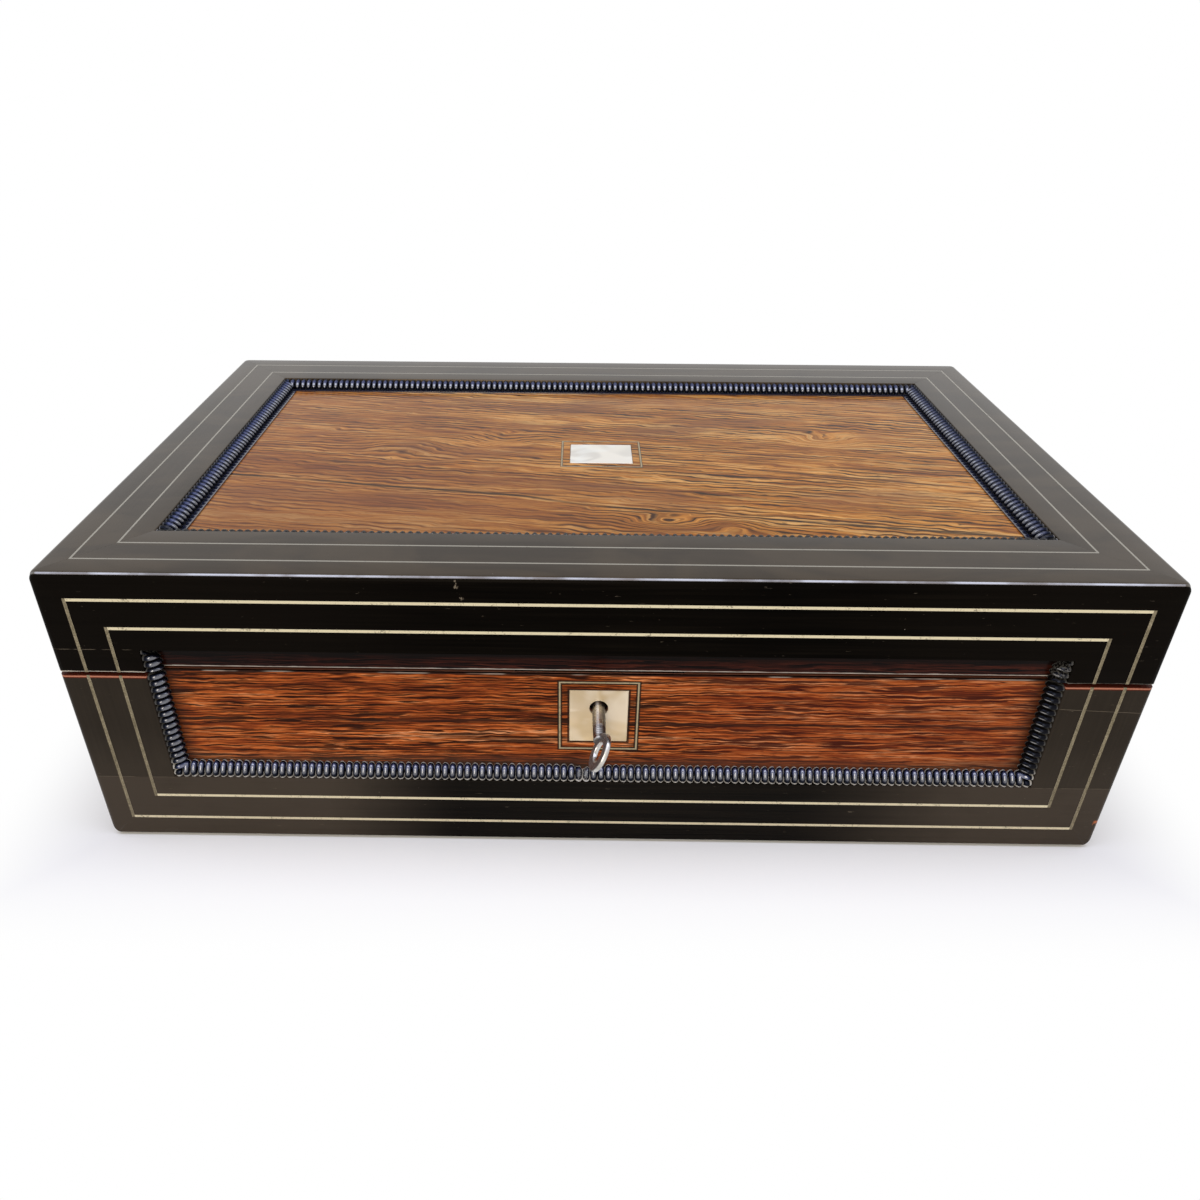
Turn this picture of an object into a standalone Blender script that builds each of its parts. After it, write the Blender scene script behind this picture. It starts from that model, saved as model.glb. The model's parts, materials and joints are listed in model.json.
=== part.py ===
"""Writing slope: a box for papers that opens along a sloping split into a desk to write on.

Metres, +Z up. The origin is at the middle of the underside. The lock is on the front, at -Y, and the
hinges are at the back. Nothing is read or written, and the part is the same on every run.
"""
import math

import bmesh
import bpy
from mathutils import Matrix, Vector

# Case
case_width = 0.406
case_depth = 0.241
case_height = 0.127
arris_radius = 0.002
split_at_front_share = 0.659
split_gap = 0.0016
wall_thickness = 0.010
front_board_thickness = 0.0072
bottom_board_thickness = 0.006
top_board_thickness = 0.007
baize_thickness = 0.001
baize_margin = 0.003

# Frames, panels and inlay on the lid and on the front
frame_width = 0.0326
frame_thickness = 0.0058
panel_thickness = 0.001
outer_string_inset = 0.0102
inner_string_inset = 0.0223
string_width = 0.0012
string_depth = 0.0008
ripple_width = 0.0056
ripple_height = 0.0044
ripple_pitch = 0.0029
inlay_depth = 0.0004
tablet_width = 0.0285
tablet_depth = 0.0215
tablet_border_margin = 0.0042
escutcheon_width = 0.0226
escutcheon_height_share = 0.49
escutcheon_below_keyhole = 0.004
escutcheon_border_margin = 0.0042
border_line_width = 0.001

# Hinges
hinge_length = 0.050
hinge_inset = 0.055
knuckle_radius = 0.002
hinge_pin_radius = 0.001
leaf_width = 0.0075
leaf_thickness = 0.001

# Writing flaps
flap_thickness = 0.005
flap_below_rim = 0.0012
flap_clearance = 0.0006
flap_border = 0.014
leather_thickness = 0.0012
flap_pin_radius = 0.0012
flap_pin_reach = 0.004
ledge_size = 0.005

# Pen tray and ink
strip_depth = 0.043
partition_thickness = 0.004
tray_wall_thickness = 0.005
bottle_width = 0.040
bottle_height_share = 0.252
bottle_clearance = 0.0008
neck_radius = 0.011
neck_height = 0.004
cap_radius = 0.0135
cap_height = 0.0085
cap_below_tray = 0.0012
tray_thickness = 0.013
tray_below_split = 0.0070
tray_bearer_size = 0.008
trough_depth = 0.009
trough_margin = 0.005
divider_below_split = 0.0035

# Lock and key
lock_offset = -0.0015
keyhole_below_split = 0.0173
keyhole_radius = 0.00365
keyhole_slot_width = 0.0026
keyhole_slot_drop = 0.0075
lock_case_width = 0.056
lock_case_depth = 0.009
lock_case_wall = 0.001
lock_case_in_front_board = 0.0052
lock_case_drop = 0.0085
lock_plate_overhang = 0.004
lock_plate_thickness = 0.0015
lock_plate_lip = 0.001
bolt_thickness = 0.0022
bolt_bar_height = 0.0035
bolt_finger_height = 0.003
bolt_finger_length = 0.006
bolt_post_width = 0.0025
bolt_rise = 0.0031
bolt_from_case_back = 0.0018
staple_spacing = 0.024
staple_thickness = 0.0015
staple_rim = 0.001
staple_play = 0.0005
key_shank_radius = 0.0025
key_reach = 0.0142
key_bow_centre = 0.0203
key_bow_radius = 0.0062
key_bow_thickness = 0.0011
key_bit_radius = 0.006
key_bit_thickness = 0.0018
key_bit_width = 0.002
key_collar_radius = 0.00275
key_collar_length = 0.0011
key_lean = math.radians(27)

# Gaps and overruns
seat_gap = 0.0003
overrun = 0.004

# Turned and rounded shapes
arris_segments = 3
round_sides = 16
fine_sides = 24
ripple_arc_steps = 2
ripple_valley_share = 0.8
merge_distance = 0.000001

# Places that several pieces share
left, right = -case_width / 2, case_width / 2
front, back = -case_depth / 2, case_depth / 2
panel_face = front + frame_thickness - panel_thickness
front_board_front = front + frame_thickness + seat_gap
front_board_back = front_board_front + front_board_thickness
back_board_front = back - wall_thickness
inside_half = case_width / 2 - wall_thickness
boards_bottom = baize_thickness + seat_gap
floor_height = boards_bottom + bottom_board_thickness
rails_bottom = case_height - frame_thickness
lid_boards_top = rails_bottom - seat_gap
recess_half_width = case_width / 2 - frame_width
recess_half_depth = case_depth / 2 - frame_width
recess_bottom = frame_width
recess_top = case_height - frame_width
split_height_at_front = case_height * split_at_front_share
keyhole_height = split_height_at_front - keyhole_below_split
escutcheon_height = (split_height_at_front - recess_bottom) * escutcheon_height_share
escutcheon_centre_height = keyhole_height - escutcheon_below_keyhole
lock_case_front = front_board_back - lock_case_in_front_board
lock_case_back = lock_case_front + lock_case_depth
bottle_height = case_height * bottle_height_share
strip_back = front_board_back + strip_depth
tray_wall_back = strip_back + tray_wall_thickness

# The split runs through the hinge axis, half way up the back, so that the lid folds down level
knuckle_offset = knuckle_radius + seat_gap
hinge_axis = Vector((0, back + knuckle_offset, case_height / 2))
split_slope = math.atan2(split_height_at_front - hinge_axis.z, hinge_axis.y - front)
WORLD = Matrix.Identity(4)
SPLIT = Matrix.Translation(hinge_axis) @ Matrix.Rotation(-split_slope, 4, "X")
ALONG_X = Matrix.Rotation(math.pi / 2, 4, "Y")
ON_FRONT = Matrix.Rotation(math.pi / 2, 4, "X")
BASE, LID = -1, 1
half_gap = split_gap / 2


# Scene, materials and the tools of the bench
def clear_scene():
    for thing in list(bpy.data.objects):
        bpy.data.objects.remove(thing, do_unlink=True)


def new_collection(name):
    collection = bpy.data.collections.new(name)
    bpy.context.scene.collection.children.link(collection)
    return collection


def new_material(name, colour, roughness, metallic=0.0):
    material = bpy.data.materials.new(name)
    material.use_nodes = True
    shader = material.node_tree.nodes["Principled BSDF"]
    shader.inputs["Base Color"].default_value = (*colour, 1.0)
    shader.inputs["Roughness"].default_value = roughness
    shader.inputs["Metallic"].default_value = metallic
    material.diffuse_color = (*colour, 1.0)
    return material


clear_scene()
pieces = new_collection("writing_slope")
cutters = new_collection("cutters")
ebony = new_material("ebonised_wood", (0.012, 0.010, 0.009), 0.2)
front_rosewood = new_material("front_rosewood", (0.20, 0.055, 0.022), 0.3)
top_rosewood = new_material("top_rosewood", (0.27, 0.12, 0.045), 0.2)
dark_rosewood = new_material("dark_rosewood", (0.045, 0.018, 0.013), 0.3)
mahogany = new_material("mahogany", (0.17, 0.055, 0.026), 0.45)
pearl = new_material("mother_of_pearl", (0.72, 0.68, 0.56), 0.2)
string_metal = new_material("string_metal", (0.55, 0.50, 0.36), 0.35, 1.0)
brass = new_material("brass", (0.60, 0.43, 0.17), 0.3, 1.0)
steel = new_material("steel", (0.48, 0.48, 0.50), 0.3, 1.0)
leather = new_material("leather", (0.035, 0.075, 0.045), 0.5)
baize = new_material("baize", (0.03, 0.09, 0.05), 0.9)
glass = new_material("glass", (0.75, 0.85, 0.82), 0.05)


def new_axis(name, place):
    axis = bpy.data.objects.new(name, None)
    axis.empty_display_size = knuckle_radius
    axis.matrix_world = place
    pieces.objects.link(axis)
    return axis


def add(name, mesh, material, place=WORLD, parent=None):
    """Make an object of a bmesh; without a material it is a cutter or a guide."""
    data = bpy.data.meshes.new(name)
    mesh.to_mesh(data)
    mesh.free()
    piece = bpy.data.objects.new(name, data)
    piece.matrix_world = place
    if material:
        data.materials.append(material)
        pieces.objects.link(piece)
    else:
        piece.hide_render = True
        piece.display_type = "WIRE"
        cutters.objects.link(piece)
    if parent:
        piece.parent = parent
        piece.matrix_parent_inverse = parent.matrix_world.inverted()
    return piece


def add_box(mesh, x, y, z):
    low, high = (Vector(corner) for corner in zip(sorted(x), sorted(y), sorted(z)))
    made = bmesh.ops.create_cube(mesh, size=1.0)["verts"]
    bmesh.ops.scale(mesh, vec=high - low, verts=made)
    bmesh.ops.translate(mesh, vec=(low + high) / 2, verts=made)


def blocks(name, material, boxes, place=WORLD, parent=None):
    mesh = bmesh.new()
    for x, y, z in boxes:
        add_box(mesh, x, y, z)
    return add(name, mesh, material, place, parent)


def block(name, material, x, y, z, place=WORLD, parent=None):
    """One block with its origin at its middle, given by its ranges in the frame of its place."""
    middle = Vector([sum(span) / 2 for span in (x, y, z)])
    centred = [[end - middle[axis] for end in span] for axis, span in enumerate((x, y, z))]
    return blocks(name, material, [centred], place @ Matrix.Translation(middle), parent)


def rods(name, material, radius, length, spots, place=WORLD, parent=None, sides=round_sides):
    """Round bars of one size; each spot is the matrix of a bar's middle, its own Z along it."""
    mesh = bmesh.new()
    for spot in spots:
        bmesh.ops.create_cone(mesh, cap_ends=True, segments=sides, radius1=radius, radius2=radius,
                              depth=length, matrix=spot)
    return add(name, mesh, material, place, parent)


def turned(name, material, profile, place=WORLD, parent=None, steps=round_sides):
    """A profile of radius and height, from top to bottom, turned about Z."""
    mesh = bmesh.new()
    line = [mesh.verts.new((radius, 0, height)) for radius, height in profile]
    for upper, lower in zip(line, line[1:]):
        mesh.edges.new((upper, lower))
    piece = add(name, mesh, material, place, parent)
    screw = piece.modifiers.new("Turn", "SCREW")
    screw.steps = screw.render_steps = steps
    screw.use_merge_vertices = True
    screw.merge_threshold = merge_distance
    return piece


def rectangle_line(name, material, half_width, half_height, line_width, thickness, place, parent=None):
    """A flat rectangular frame of even width, half its thickness to each side of its own XY plane."""
    curve = bpy.data.curves.new(name, "CURVE")
    curve.dimensions = "2D"
    curve.fill_mode = "BOTH"
    curve.extrude = thickness / 2
    for inset in (0, line_width):
        a, b = half_width - inset, half_height - inset
        spline = curve.splines.new("POLY")
        spline.points.add(3)
        for point, (x, y) in zip(spline.points, ((-a, -b), (a, -b), (a, b), (-a, b))):
            point.co = (x, y, 0, 1)
        spline.use_cyclic_u = True
    outline = bpy.data.objects.new(name + "_outline", curve)
    cutters.objects.link(outline)
    bpy.context.view_layer.update()
    data = bpy.data.meshes.new_from_object(outline.evaluated_get(bpy.context.evaluated_depsgraph_get()))
    mesh = bmesh.new()
    mesh.from_mesh(data)
    bmesh.ops.remove_doubles(mesh, verts=mesh.verts, dist=merge_distance)
    bmesh.ops.recalc_face_normals(mesh, faces=mesh.faces)
    bpy.data.objects.remove(outline)
    return add(name, mesh, material, place, parent)


def saw_mesh(mesh, point, normal):
    """Take off what lies on the side of a plane that its normal points to, and close the cut."""
    everything = mesh.verts[:] + mesh.edges[:] + mesh.faces[:]
    bmesh.ops.bisect_plane(mesh, geom=everything, dist=merge_distance, plane_co=point, plane_no=normal,
                           clear_outer=True)
    bmesh.ops.holes_fill(mesh, edges=[edge for edge in mesh.edges if edge.is_boundary])


def saw(piece, point, normal):
    mesh = bmesh.new()
    mesh.from_mesh(piece.data)
    to_piece = piece.matrix_world.inverted()
    saw_mesh(mesh, to_piece @ Vector(point), to_piece.to_3x3() @ Vector(normal))
    mesh.to_mesh(piece.data)
    mesh.free()
    return piece


def saw_at_split(piece, side, distance=half_gap):
    """Keep the piece on its own side of the split, at a distance from the split's middle."""
    return saw(piece, SPLIT @ Vector((0, 0, side * distance)), SPLIT.to_3x3() @ Vector((0, 0, -side)))


def add_boolean(piece, operation, other):
    boolean = piece.modifiers.new(operation.title(), "BOOLEAN")
    boolean.operation = operation
    boolean.object = other
    return piece


def cut(piece, *others):
    for other in others:
        add_boolean(piece, "DIFFERENCE", other)
    return piece


def join(piece, *others):
    for other in others:
        add_boolean(piece, "UNION", other)
    return piece


def round_arrises(piece):
    """Give an outer piece, left oversize, the case's faces and rounded arrises."""
    return add_boolean(piece, "INTERSECT", case_envelope)


def round_edges(piece, width, segments=2):
    bevel = piece.modifiers.new("Rounded edges", "BEVEL")
    bevel.width = width
    bevel.segments = segments
    return piece


def in_split(y, z):
    """A point of the case, given by its depth and height, in the frame of the split."""
    return SPLIT.inverted() @ Vector((0, y, z))


def split_y(y):
    """How far along the split a plane of the case at depth y meets it."""
    return (y - hinge_axis.y) / math.cos(split_slope)


def split_height(y):
    """How high the split's middle lies in the case at depth y."""
    return hinge_axis.z + (hinge_axis.y - y) * math.tan(split_slope)


lid_axis = new_axis("lid_axis", Matrix.Translation(hinge_axis))
case_envelope = round_edges(
    block("case_envelope", None, (left, right), (front, back), (boards_bottom, case_height)),
    arris_radius, arris_segments)


# Grooves that the string lines lie in, cut into every frame piece that they cross
def string_rectangles(name, material, half_width, half_height, place, clearance, parent=None):
    return [rectangle_line(
        f"{name}_{label}_string", material, half_width - inset + clearance, half_height - inset + clearance,
        string_width + 2 * clearance, string_depth + 2 * clearance, place, parent)
        for label, inset in (("outer", outer_string_inset), ("inner", inner_string_inset))]


def string_place(face_point, turn):
    return Matrix.Translation(face_point) @ turn


top_string_place = string_place((0, 0, case_height - string_depth / 2), WORLD)
front_string_place = string_place((0, front + string_depth / 2, case_height / 2), ON_FRONT)
top_grooves = string_rectangles("top_groove", None, case_width / 2, case_depth / 2, top_string_place, seat_gap)
front_grooves = string_rectangles("front_groove", None, case_width / 2, case_height / 2, front_string_place,
                                  seat_gap)


def make_strings():
    string_rectangles("lid_top", string_metal, case_width / 2, case_depth / 2, top_string_place, 0, lid_axis)
    for side, name, parent in ((BASE, "base", None), (LID, "lid_front", lid_axis)):
        for line in string_rectangles(name, string_metal, case_width / 2, case_height / 2,
                                      front_string_place, 0, parent):
            saw_at_split(line, side)


# Ripple moulding: a quarter round worked into even waves, mitred at the corners
def ripple_run(start, along, inward, outward, length, saws):
    mesh = bmesh.new()
    start = start + (inward + outward) * seat_gap
    count = max(1, round(length / ripple_pitch))
    angles = [math.pi / 2 * (1 - step / ripple_arc_steps) for step in range(ripple_arc_steps + 1)]
    profile = [Vector((0, 0))] + [Vector((ripple_width * math.cos(angle), ripple_height * math.sin(angle)))
                                  for angle in angles]
    rings = []
    for index in range(2 * count + 1):
        middle = start + along * (length * index / (2 * count))
        size = 1 if index % 2 else ripple_valley_share
        rings.append([mesh.verts.new(middle + inward * (size * x) + outward * (size * y))
                      for x, y in profile])
    for near, far in zip(rings, rings[1:]):
        for index in range(len(profile)):
            mesh.faces.new((near[index], near[index - 1], far[index - 1], far[index]))
    mesh.faces.new(rings[0])
    mesh.faces.new(rings[-1])
    bmesh.ops.recalc_face_normals(mesh, faces=mesh.faces)
    for point, normal in saws:
        saw_mesh(mesh, point, normal)
    return mesh


def mitred_run(name, corner, far_corner, inward, outward, extra_saws=(), material=ebony, parent=None):
    """A run between two corners of a recess, mitred at both ends."""
    along = (far_corner - corner).normalized()
    saws = [(corner + along * seat_gap, -along + inward), (far_corner - along * seat_gap, along + inward)]
    run = ripple_run(corner, along, inward, outward, (far_corner - corner).length, [*saws, *extra_saws])
    return add(name, run, material, WORLD, parent)


def make_ripples():
    x_axis, y_axis, z_axis = Vector((1, 0, 0)), Vector((0, 1, 0)), Vector((0, 0, 1))
    width, depth = recess_half_width, recess_half_depth
    level = case_height - frame_thickness + panel_thickness
    for label, way in (("front", -1), ("back", 1)):
        mitred_run("lid_ripple_" + label, Vector((-width, way * depth, level)),
                   Vector((width, way * depth, level)), -way * y_axis, z_axis, parent=lid_axis)
    low, high = (Vector((0, panel_face, height)) for height in (recess_bottom, recess_top))
    mitred_run("base_ripple_bottom", low - width * x_axis, low + width * x_axis, z_axis, -y_axis)
    for label, way in (("left", -1), ("right", 1)):
        mitred_run("lid_ripple_" + label, Vector((way * width, -depth, level)),
                   Vector((way * width, depth, level)), -way * x_axis, z_axis, parent=lid_axis)
        for side, name, material, sink in ((BASE, "base_ripple_", ebony, 0),
                                           (LID, "ripple_stub_", None, 2 * seat_gap)):
            at_split = (SPLIT @ Vector((0, 0, side * half_gap)), SPLIT.to_3x3() @ Vector((0, 0, -side)))
            run = mitred_run(name + label, low + way * width * x_axis, high + way * width * x_axis,
                             -way * x_axis, -y_axis, [at_split], material)
            run.location.y += sink
            if side == LID:
                join(bpy.data.objects["lid_front_strip"], run)


# Boards of the base and of the lid, cut on the slope where they meet
def hinge_centres():
    return [way * (case_width / 2 - hinge_inset - hinge_length / 2) for way in (-1, 1)]


def plate_recess(side):
    """The space that the two hinge leaves take in the rim of one side."""
    boxes = [((x - hinge_length / 2 - seat_gap, x + hinge_length / 2 + seat_gap),
              (-knuckle_offset - leaf_width - seat_gap, overrun),
              (0, side * (half_gap + leaf_thickness + seat_gap))) for x in hinge_centres()]
    return blocks("leaf_recess", None, boxes, SPLIT)


def lock_plate_ranges(clearance):
    """Length and depth of the lock plate and of the link plate, along the split."""
    length = lock_case_width / 2 + lock_plate_overhang + clearance
    near, far = split_y(lock_case_front - lock_plate_lip), split_y(lock_case_back)
    return (lock_offset - length, lock_offset + length), (near - clearance, far + clearance)


def lock_recess(side):
    x, y = lock_plate_ranges(seat_gap)
    return block("plate_recess", None, x, y, (0, side * (half_gap + lock_plate_thickness + seat_gap)), SPLIT)


def flap_axis_spot(side):
    """Depth and height of a flap's pivot in the frame of the split."""
    return (-knuckle_offset - wall_thickness - flap_clearance - flap_thickness / 2,
            side * (half_gap + flap_below_rim + flap_thickness / 2))


def flap_pins(side, clearance):
    """The pivot pins at both ends of one side's flap, or the holes for them in the boards."""
    spots = [Matrix.Translation((way * inside_half, *flap_axis_spot(side))) @ ALONG_X for way in (-1, 1)]
    return rods("flap_pins", None, flap_pin_radius + clearance, 2 * (flap_pin_reach + clearance), spots, SPLIT)


def flap_ledge(side, x, y):
    """A fillet that a flap rests on, sunk into the board that it is glued to."""
    level = side * (half_gap + flap_below_rim + flap_thickness + seat_gap)
    return block("ledge", None, sorted(x), y, (level, level + side * ledge_size), SPLIT)


def side_ledge(side, way):
    near = split_y(tray_wall_back if side == BASE else lock_case_back) + ledge_size
    return flap_ledge(side, (way * (inside_half - ledge_size), way * (inside_half + ledge_size)),
                      (near, split_y(back_board_front) - ledge_size))


def make_boards():
    for side, name, bottom, top, parent in (
            (BASE, "base", boards_bottom - overrun, case_height, None),
            (LID, "lid", 0, lid_boards_top, lid_axis)):
        leaf_space, plate_space, pin_space = plate_recess(side), lock_recess(side), flap_pins(side, seat_gap)
        for label, way in (("left", -1), ("right", 1)):
            board = block(f"{name}_{label}_board", ebony,
                          sorted((way * inside_half, way * (case_width / 2 + overrun))),
                          (front_board_front, back + overrun), (bottom, top), parent=parent)
            round_arrises(saw_at_split(board, side))
            cut(join(board, side_ledge(side, way)), pin_space)
        half_width = inside_half - seat_gap
        board = block(name + "_back_board", ebony, (-half_width, half_width),
                      (back_board_front, back + overrun), (bottom, top), parent=parent)
        cut(round_arrises(saw_at_split(board, side)), leaf_space)
        board = block(name + "_front_board", mahogany, (-half_width, half_width),
                      (front_board_front, front_board_back), (max(bottom, boards_bottom), top), parent=parent)
        cut(saw_at_split(board, side), plate_space)
    front_ledge = flap_ledge(LID, (-inside_half + 2 * ledge_size, inside_half - 2 * ledge_size),
                             (split_y(front_board_back) - ledge_size / 2, split_y(lock_case_back) + ledge_size))
    join(board, front_ledge)
    half_width = inside_half - seat_gap
    depth = (front_board_back + seat_gap, back_board_front - seat_gap)
    block("base_bottom_board", mahogany, (-half_width, half_width), depth, (boards_bottom, floor_height))
    block("lid_top_board", mahogany, (-half_width, half_width), depth,
          (lid_boards_top - top_board_thickness, lid_boards_top), parent=lid_axis)
    block("base_baize", baize, (left + baize_margin, right - baize_margin),
          (front + baize_margin, back - baize_margin), (0, baize_thickness))


def keyhole(name, radius, y):
    """A keyhole through a range of depth: a round eye with a slot below it."""
    middle = Matrix.Translation((lock_offset, sum(y) / 2, keyhole_height)) @ ON_FRONT
    eye = rods(name + "_eye", None, radius, y[1] - y[0], [WORLD], middle, sides=fine_sides)
    slot = block(name + "_slot", None,
                 (lock_offset - keyhole_slot_width / 2, lock_offset + keyhole_slot_width / 2), y,
                 (keyhole_height - keyhole_slot_drop, keyhole_height))
    return eye, slot


# Ebonised frame and rosewood panel of the front
def make_front():
    face = (front - overrun, front + frame_thickness)
    full = (left - overrun, right + overrun)
    rail = block("base_front_rail", ebony, full, face, (boards_bottom - overrun, recess_bottom))
    cut(round_arrises(rail), *front_grooves)
    frame = block("lid_front_frame", ebony, full, face, (0, lid_boards_top), parent=lid_axis)
    recess = block("lid_front_recess", None, (-recess_half_width, recess_half_width),
                   (front - 2 * overrun, front_board_front), (-overrun, recess_top))
    cut(round_arrises(saw_at_split(frame, LID)), recess, *front_grooves)
    for label, way in (("left", -1), ("right", 1)):
        stile = block(f"base_{label}_stile", ebony,
                      sorted((way * recess_half_width, way * (case_width / 2 + overrun))), face,
                      (recess_bottom + seat_gap, case_height))
        cut(round_arrises(saw_at_split(stile, BASE)), *front_grooves)
    half_width = recess_half_width - seat_gap
    sheet = (panel_face, panel_face + panel_thickness)
    strip = block("lid_front_strip", dark_rosewood, (-half_width, half_width), sheet,
                  (0, recess_top - seat_gap), parent=lid_axis)
    saw_at_split(strip, LID)
    panel = block("base_front_panel", front_rosewood, (-half_width, half_width), sheet,
                  (recess_bottom + seat_gap, case_height))
    saw_at_split(panel, BASE)
    make_escutcheon(panel, sheet)


def make_escutcheon(panel, sheet):
    half_width, half_height = escutcheon_width / 2, escutcheon_height / 2
    eye, slot = keyhole("keyhole", keyhole_radius, (sheet[0] - overrun, front_board_back))
    plate = block("escutcheon", pearl, (lock_offset - half_width, lock_offset + half_width), sheet,
                  (escutcheon_centre_height - half_height, escutcheon_centre_height + half_height))
    space = block("escutcheon_space", None,
                  (lock_offset - half_width - seat_gap, lock_offset + half_width + seat_gap),
                  (sheet[0] - overrun, sheet[1] + overrun),
                  (escutcheon_centre_height - half_height - seat_gap,
                   escutcheon_centre_height + half_height + seat_gap))
    cut(plate, eye, slot)
    cut(bpy.data.objects["base_front_board"], eye, slot)
    place = Matrix.Translation((lock_offset, panel_face + inlay_depth / 2, escutcheon_centre_height)) @ ON_FRONT
    reach = (half_width + escutcheon_border_margin, half_height + escutcheon_border_margin)
    groove = inlaid_border("escutcheon_border", reach, place)
    cut(panel, space, groove)


def inlaid_border(name, reach, place, parent=None):
    """A rectangular line of inlay, and the groove that it lies in."""
    rectangle_line(name, string_metal, *reach, border_line_width, inlay_depth, place, parent)
    grown = [size + seat_gap for size in reach]
    return rectangle_line(name + "_groove", None, *grown, border_line_width + 2 * seat_gap,
                          inlay_depth + 2 * seat_gap, place)


# Mitred frame and rosewood panel of the lid's top
def make_top():
    z = (rails_bottom, case_height + overrun)
    reach_x, reach_y = case_width / 2, case_depth / 2
    rails = (("front", (-reach_x - overrun, reach_x + overrun), (-reach_y - overrun, -recess_half_depth)),
             ("back", (-reach_x - overrun, reach_x + overrun), (recess_half_depth, reach_y + overrun)),
             ("left", (-reach_x - overrun, -recess_half_width), (-reach_y - overrun, reach_y + overrun)),
             ("right", (recess_half_width, reach_x + overrun), (-reach_y - overrun, reach_y + overrun)))
    for label, x, y in rails:
        rail = block("lid_top_rail_" + label, ebony, x, y, z, parent=lid_axis)
        toward = Vector((sum(x), sum(y), 0)).normalized()
        across = Vector((-toward.y, toward.x, 0))
        for way in (-1, 1):
            corner = Vector((recess_half_width * (toward.x or way * across.x),
                             recess_half_depth * (toward.y or way * across.y), case_height))
            saw(rail, corner - across * way * seat_gap / 2, across * way - toward)
        cut(round_arrises(rail), *top_grooves)
    sheet = (rails_bottom, rails_bottom + panel_thickness)
    half_width, half_depth = recess_half_width - seat_gap, recess_half_depth - seat_gap
    panel = block("lid_top_panel", top_rosewood, (-half_width, half_width), (-half_depth, half_depth), sheet,
                  parent=lid_axis)
    block("tablet", pearl, (-tablet_width / 2, tablet_width / 2), (-tablet_depth / 2, tablet_depth / 2),
          sheet, parent=lid_axis)
    space = block("tablet_space", None,
                  (-tablet_width / 2 - seat_gap, tablet_width / 2 + seat_gap),
                  (-tablet_depth / 2 - seat_gap, tablet_depth / 2 + seat_gap),
                  (sheet[0] - overrun, sheet[1] + overrun))
    place = Matrix.Translation((0, 0, sheet[1] - inlay_depth / 2))
    reach = (tablet_width / 2 + tablet_border_margin, tablet_depth / 2 + tablet_border_margin)
    cut(panel, space, inlaid_border("tablet_border", reach, place, lid_axis))


# Butt hinges: leaves let into the rims, knuckles clear of the back, a pin through each
def knuckle_spans(side):
    third = hinge_length / 3
    if side == LID:
        return [(-third / 2 + seat_gap, third / 2 - seat_gap)]
    return [(-hinge_length / 2, -third / 2), (third / 2, hinge_length / 2)]


def make_hinge_leaf(name, side, x, parent):
    """A leaf with its knuckles; the pin is fast in the base's knuckles and runs in the lid's."""
    level = sorted((side * half_gap, side * (half_gap + leaf_thickness)))
    spans = [(x + low, x + high) for low, high in knuckle_spans(side)]
    leaf = block(name, brass, (x - hinge_length / 2, x + hinge_length / 2),
                 (-knuckle_offset - leaf_width, -knuckle_offset), level, SPLIT, parent)
    tabs = blocks("tabs", None, [(span, (-knuckle_offset - leaf_width / 2, 0), level) for span in spans], SPLIT)
    tubes = rods("tubes", None, knuckle_radius, spans[0][1] - spans[0][0],
                 [Matrix.Translation(((low + high) / 2, 0, 0)) @ ALONG_X for low, high in spans], SPLIT)
    join(leaf, tabs, tubes)
    middle = [Matrix.Translation((x, 0, 0)) @ ALONG_X]
    if side == BASE:
        join(leaf, rods("pin", None, hinge_pin_radius, hinge_length / 2, middle, SPLIT))
    else:
        cut(leaf, rods("bore", None, hinge_pin_radius + seat_gap, hinge_length, middle, SPLIT))


def make_hinges():
    for label, x in zip(("left", "right"), hinge_centres()):
        make_hinge_leaf("base_hinge_" + label, BASE, x, None)
        make_hinge_leaf("lid_hinge_" + label, LID, x, lid_axis)


# Writing flaps: boards with a rounded back edge that turn on pins, their leather let in
def make_flaps():
    for side, name, parent, front_end in (
            (BASE, "base", None, strip_back + 2 * flap_clearance),
            (LID, "lid", lid_axis, lock_case_back + flap_clearance)):
        axis_y, axis_z = flap_axis_spot(side)
        axis = new_axis(name + "_flap_axis", SPLIT @ Matrix.Translation((0, axis_y, axis_z)))
        if parent:
            axis.parent = parent
            axis.matrix_parent_inverse = parent.matrix_world.inverted()
        half_width = inside_half - flap_clearance
        top, under = side * (half_gap + flap_below_rim), side * (half_gap + flap_below_rim + flap_thickness)
        y = (split_y(front_end), axis_y + flap_thickness / 2)
        flap = block(name + "_flap", mahogany, (-half_width, half_width), y, sorted((top, under)), SPLIT, axis)
        round_back_edge(flap, y)
        border = (half_width - flap_border, y[0] + flap_border, y[1] - flap_border)
        deep = top + side * (leather_thickness + seat_gap)
        cut(flap, block("leather_space", None, (-border[0], border[0]), border[1:], sorted((0, deep)), SPLIT))
        join(flap, flap_pins(side, 0))
        block(name + "_flap_leather", leather, (-border[0] + seat_gap, border[0] - seat_gap),
              (border[1] + seat_gap, border[2] - seat_gap), sorted((top, top + side * leather_thickness)),
              SPLIT, axis)


def round_back_edge(flap, y):
    """Round the back edge about the pivot, so that it turns clear of the back board."""
    mesh = bmesh.new()
    mesh.from_mesh(flap.data)
    limit = (y[1] - y[0]) / 2 - merge_distance
    long_edges = [edge for edge in mesh.edges if all(vert.co.y > limit for vert in edge.verts)
                  and abs(edge.verts[0].co.x - edge.verts[1].co.x) > flap_thickness]
    bmesh.ops.bevel(mesh, geom=long_edges, offset=flap_thickness / 2 - seat_gap / 2, segments=arris_segments,
                    profile=0.5, affect="EDGES")
    mesh.to_mesh(flap.data)
    mesh.free()


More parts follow.
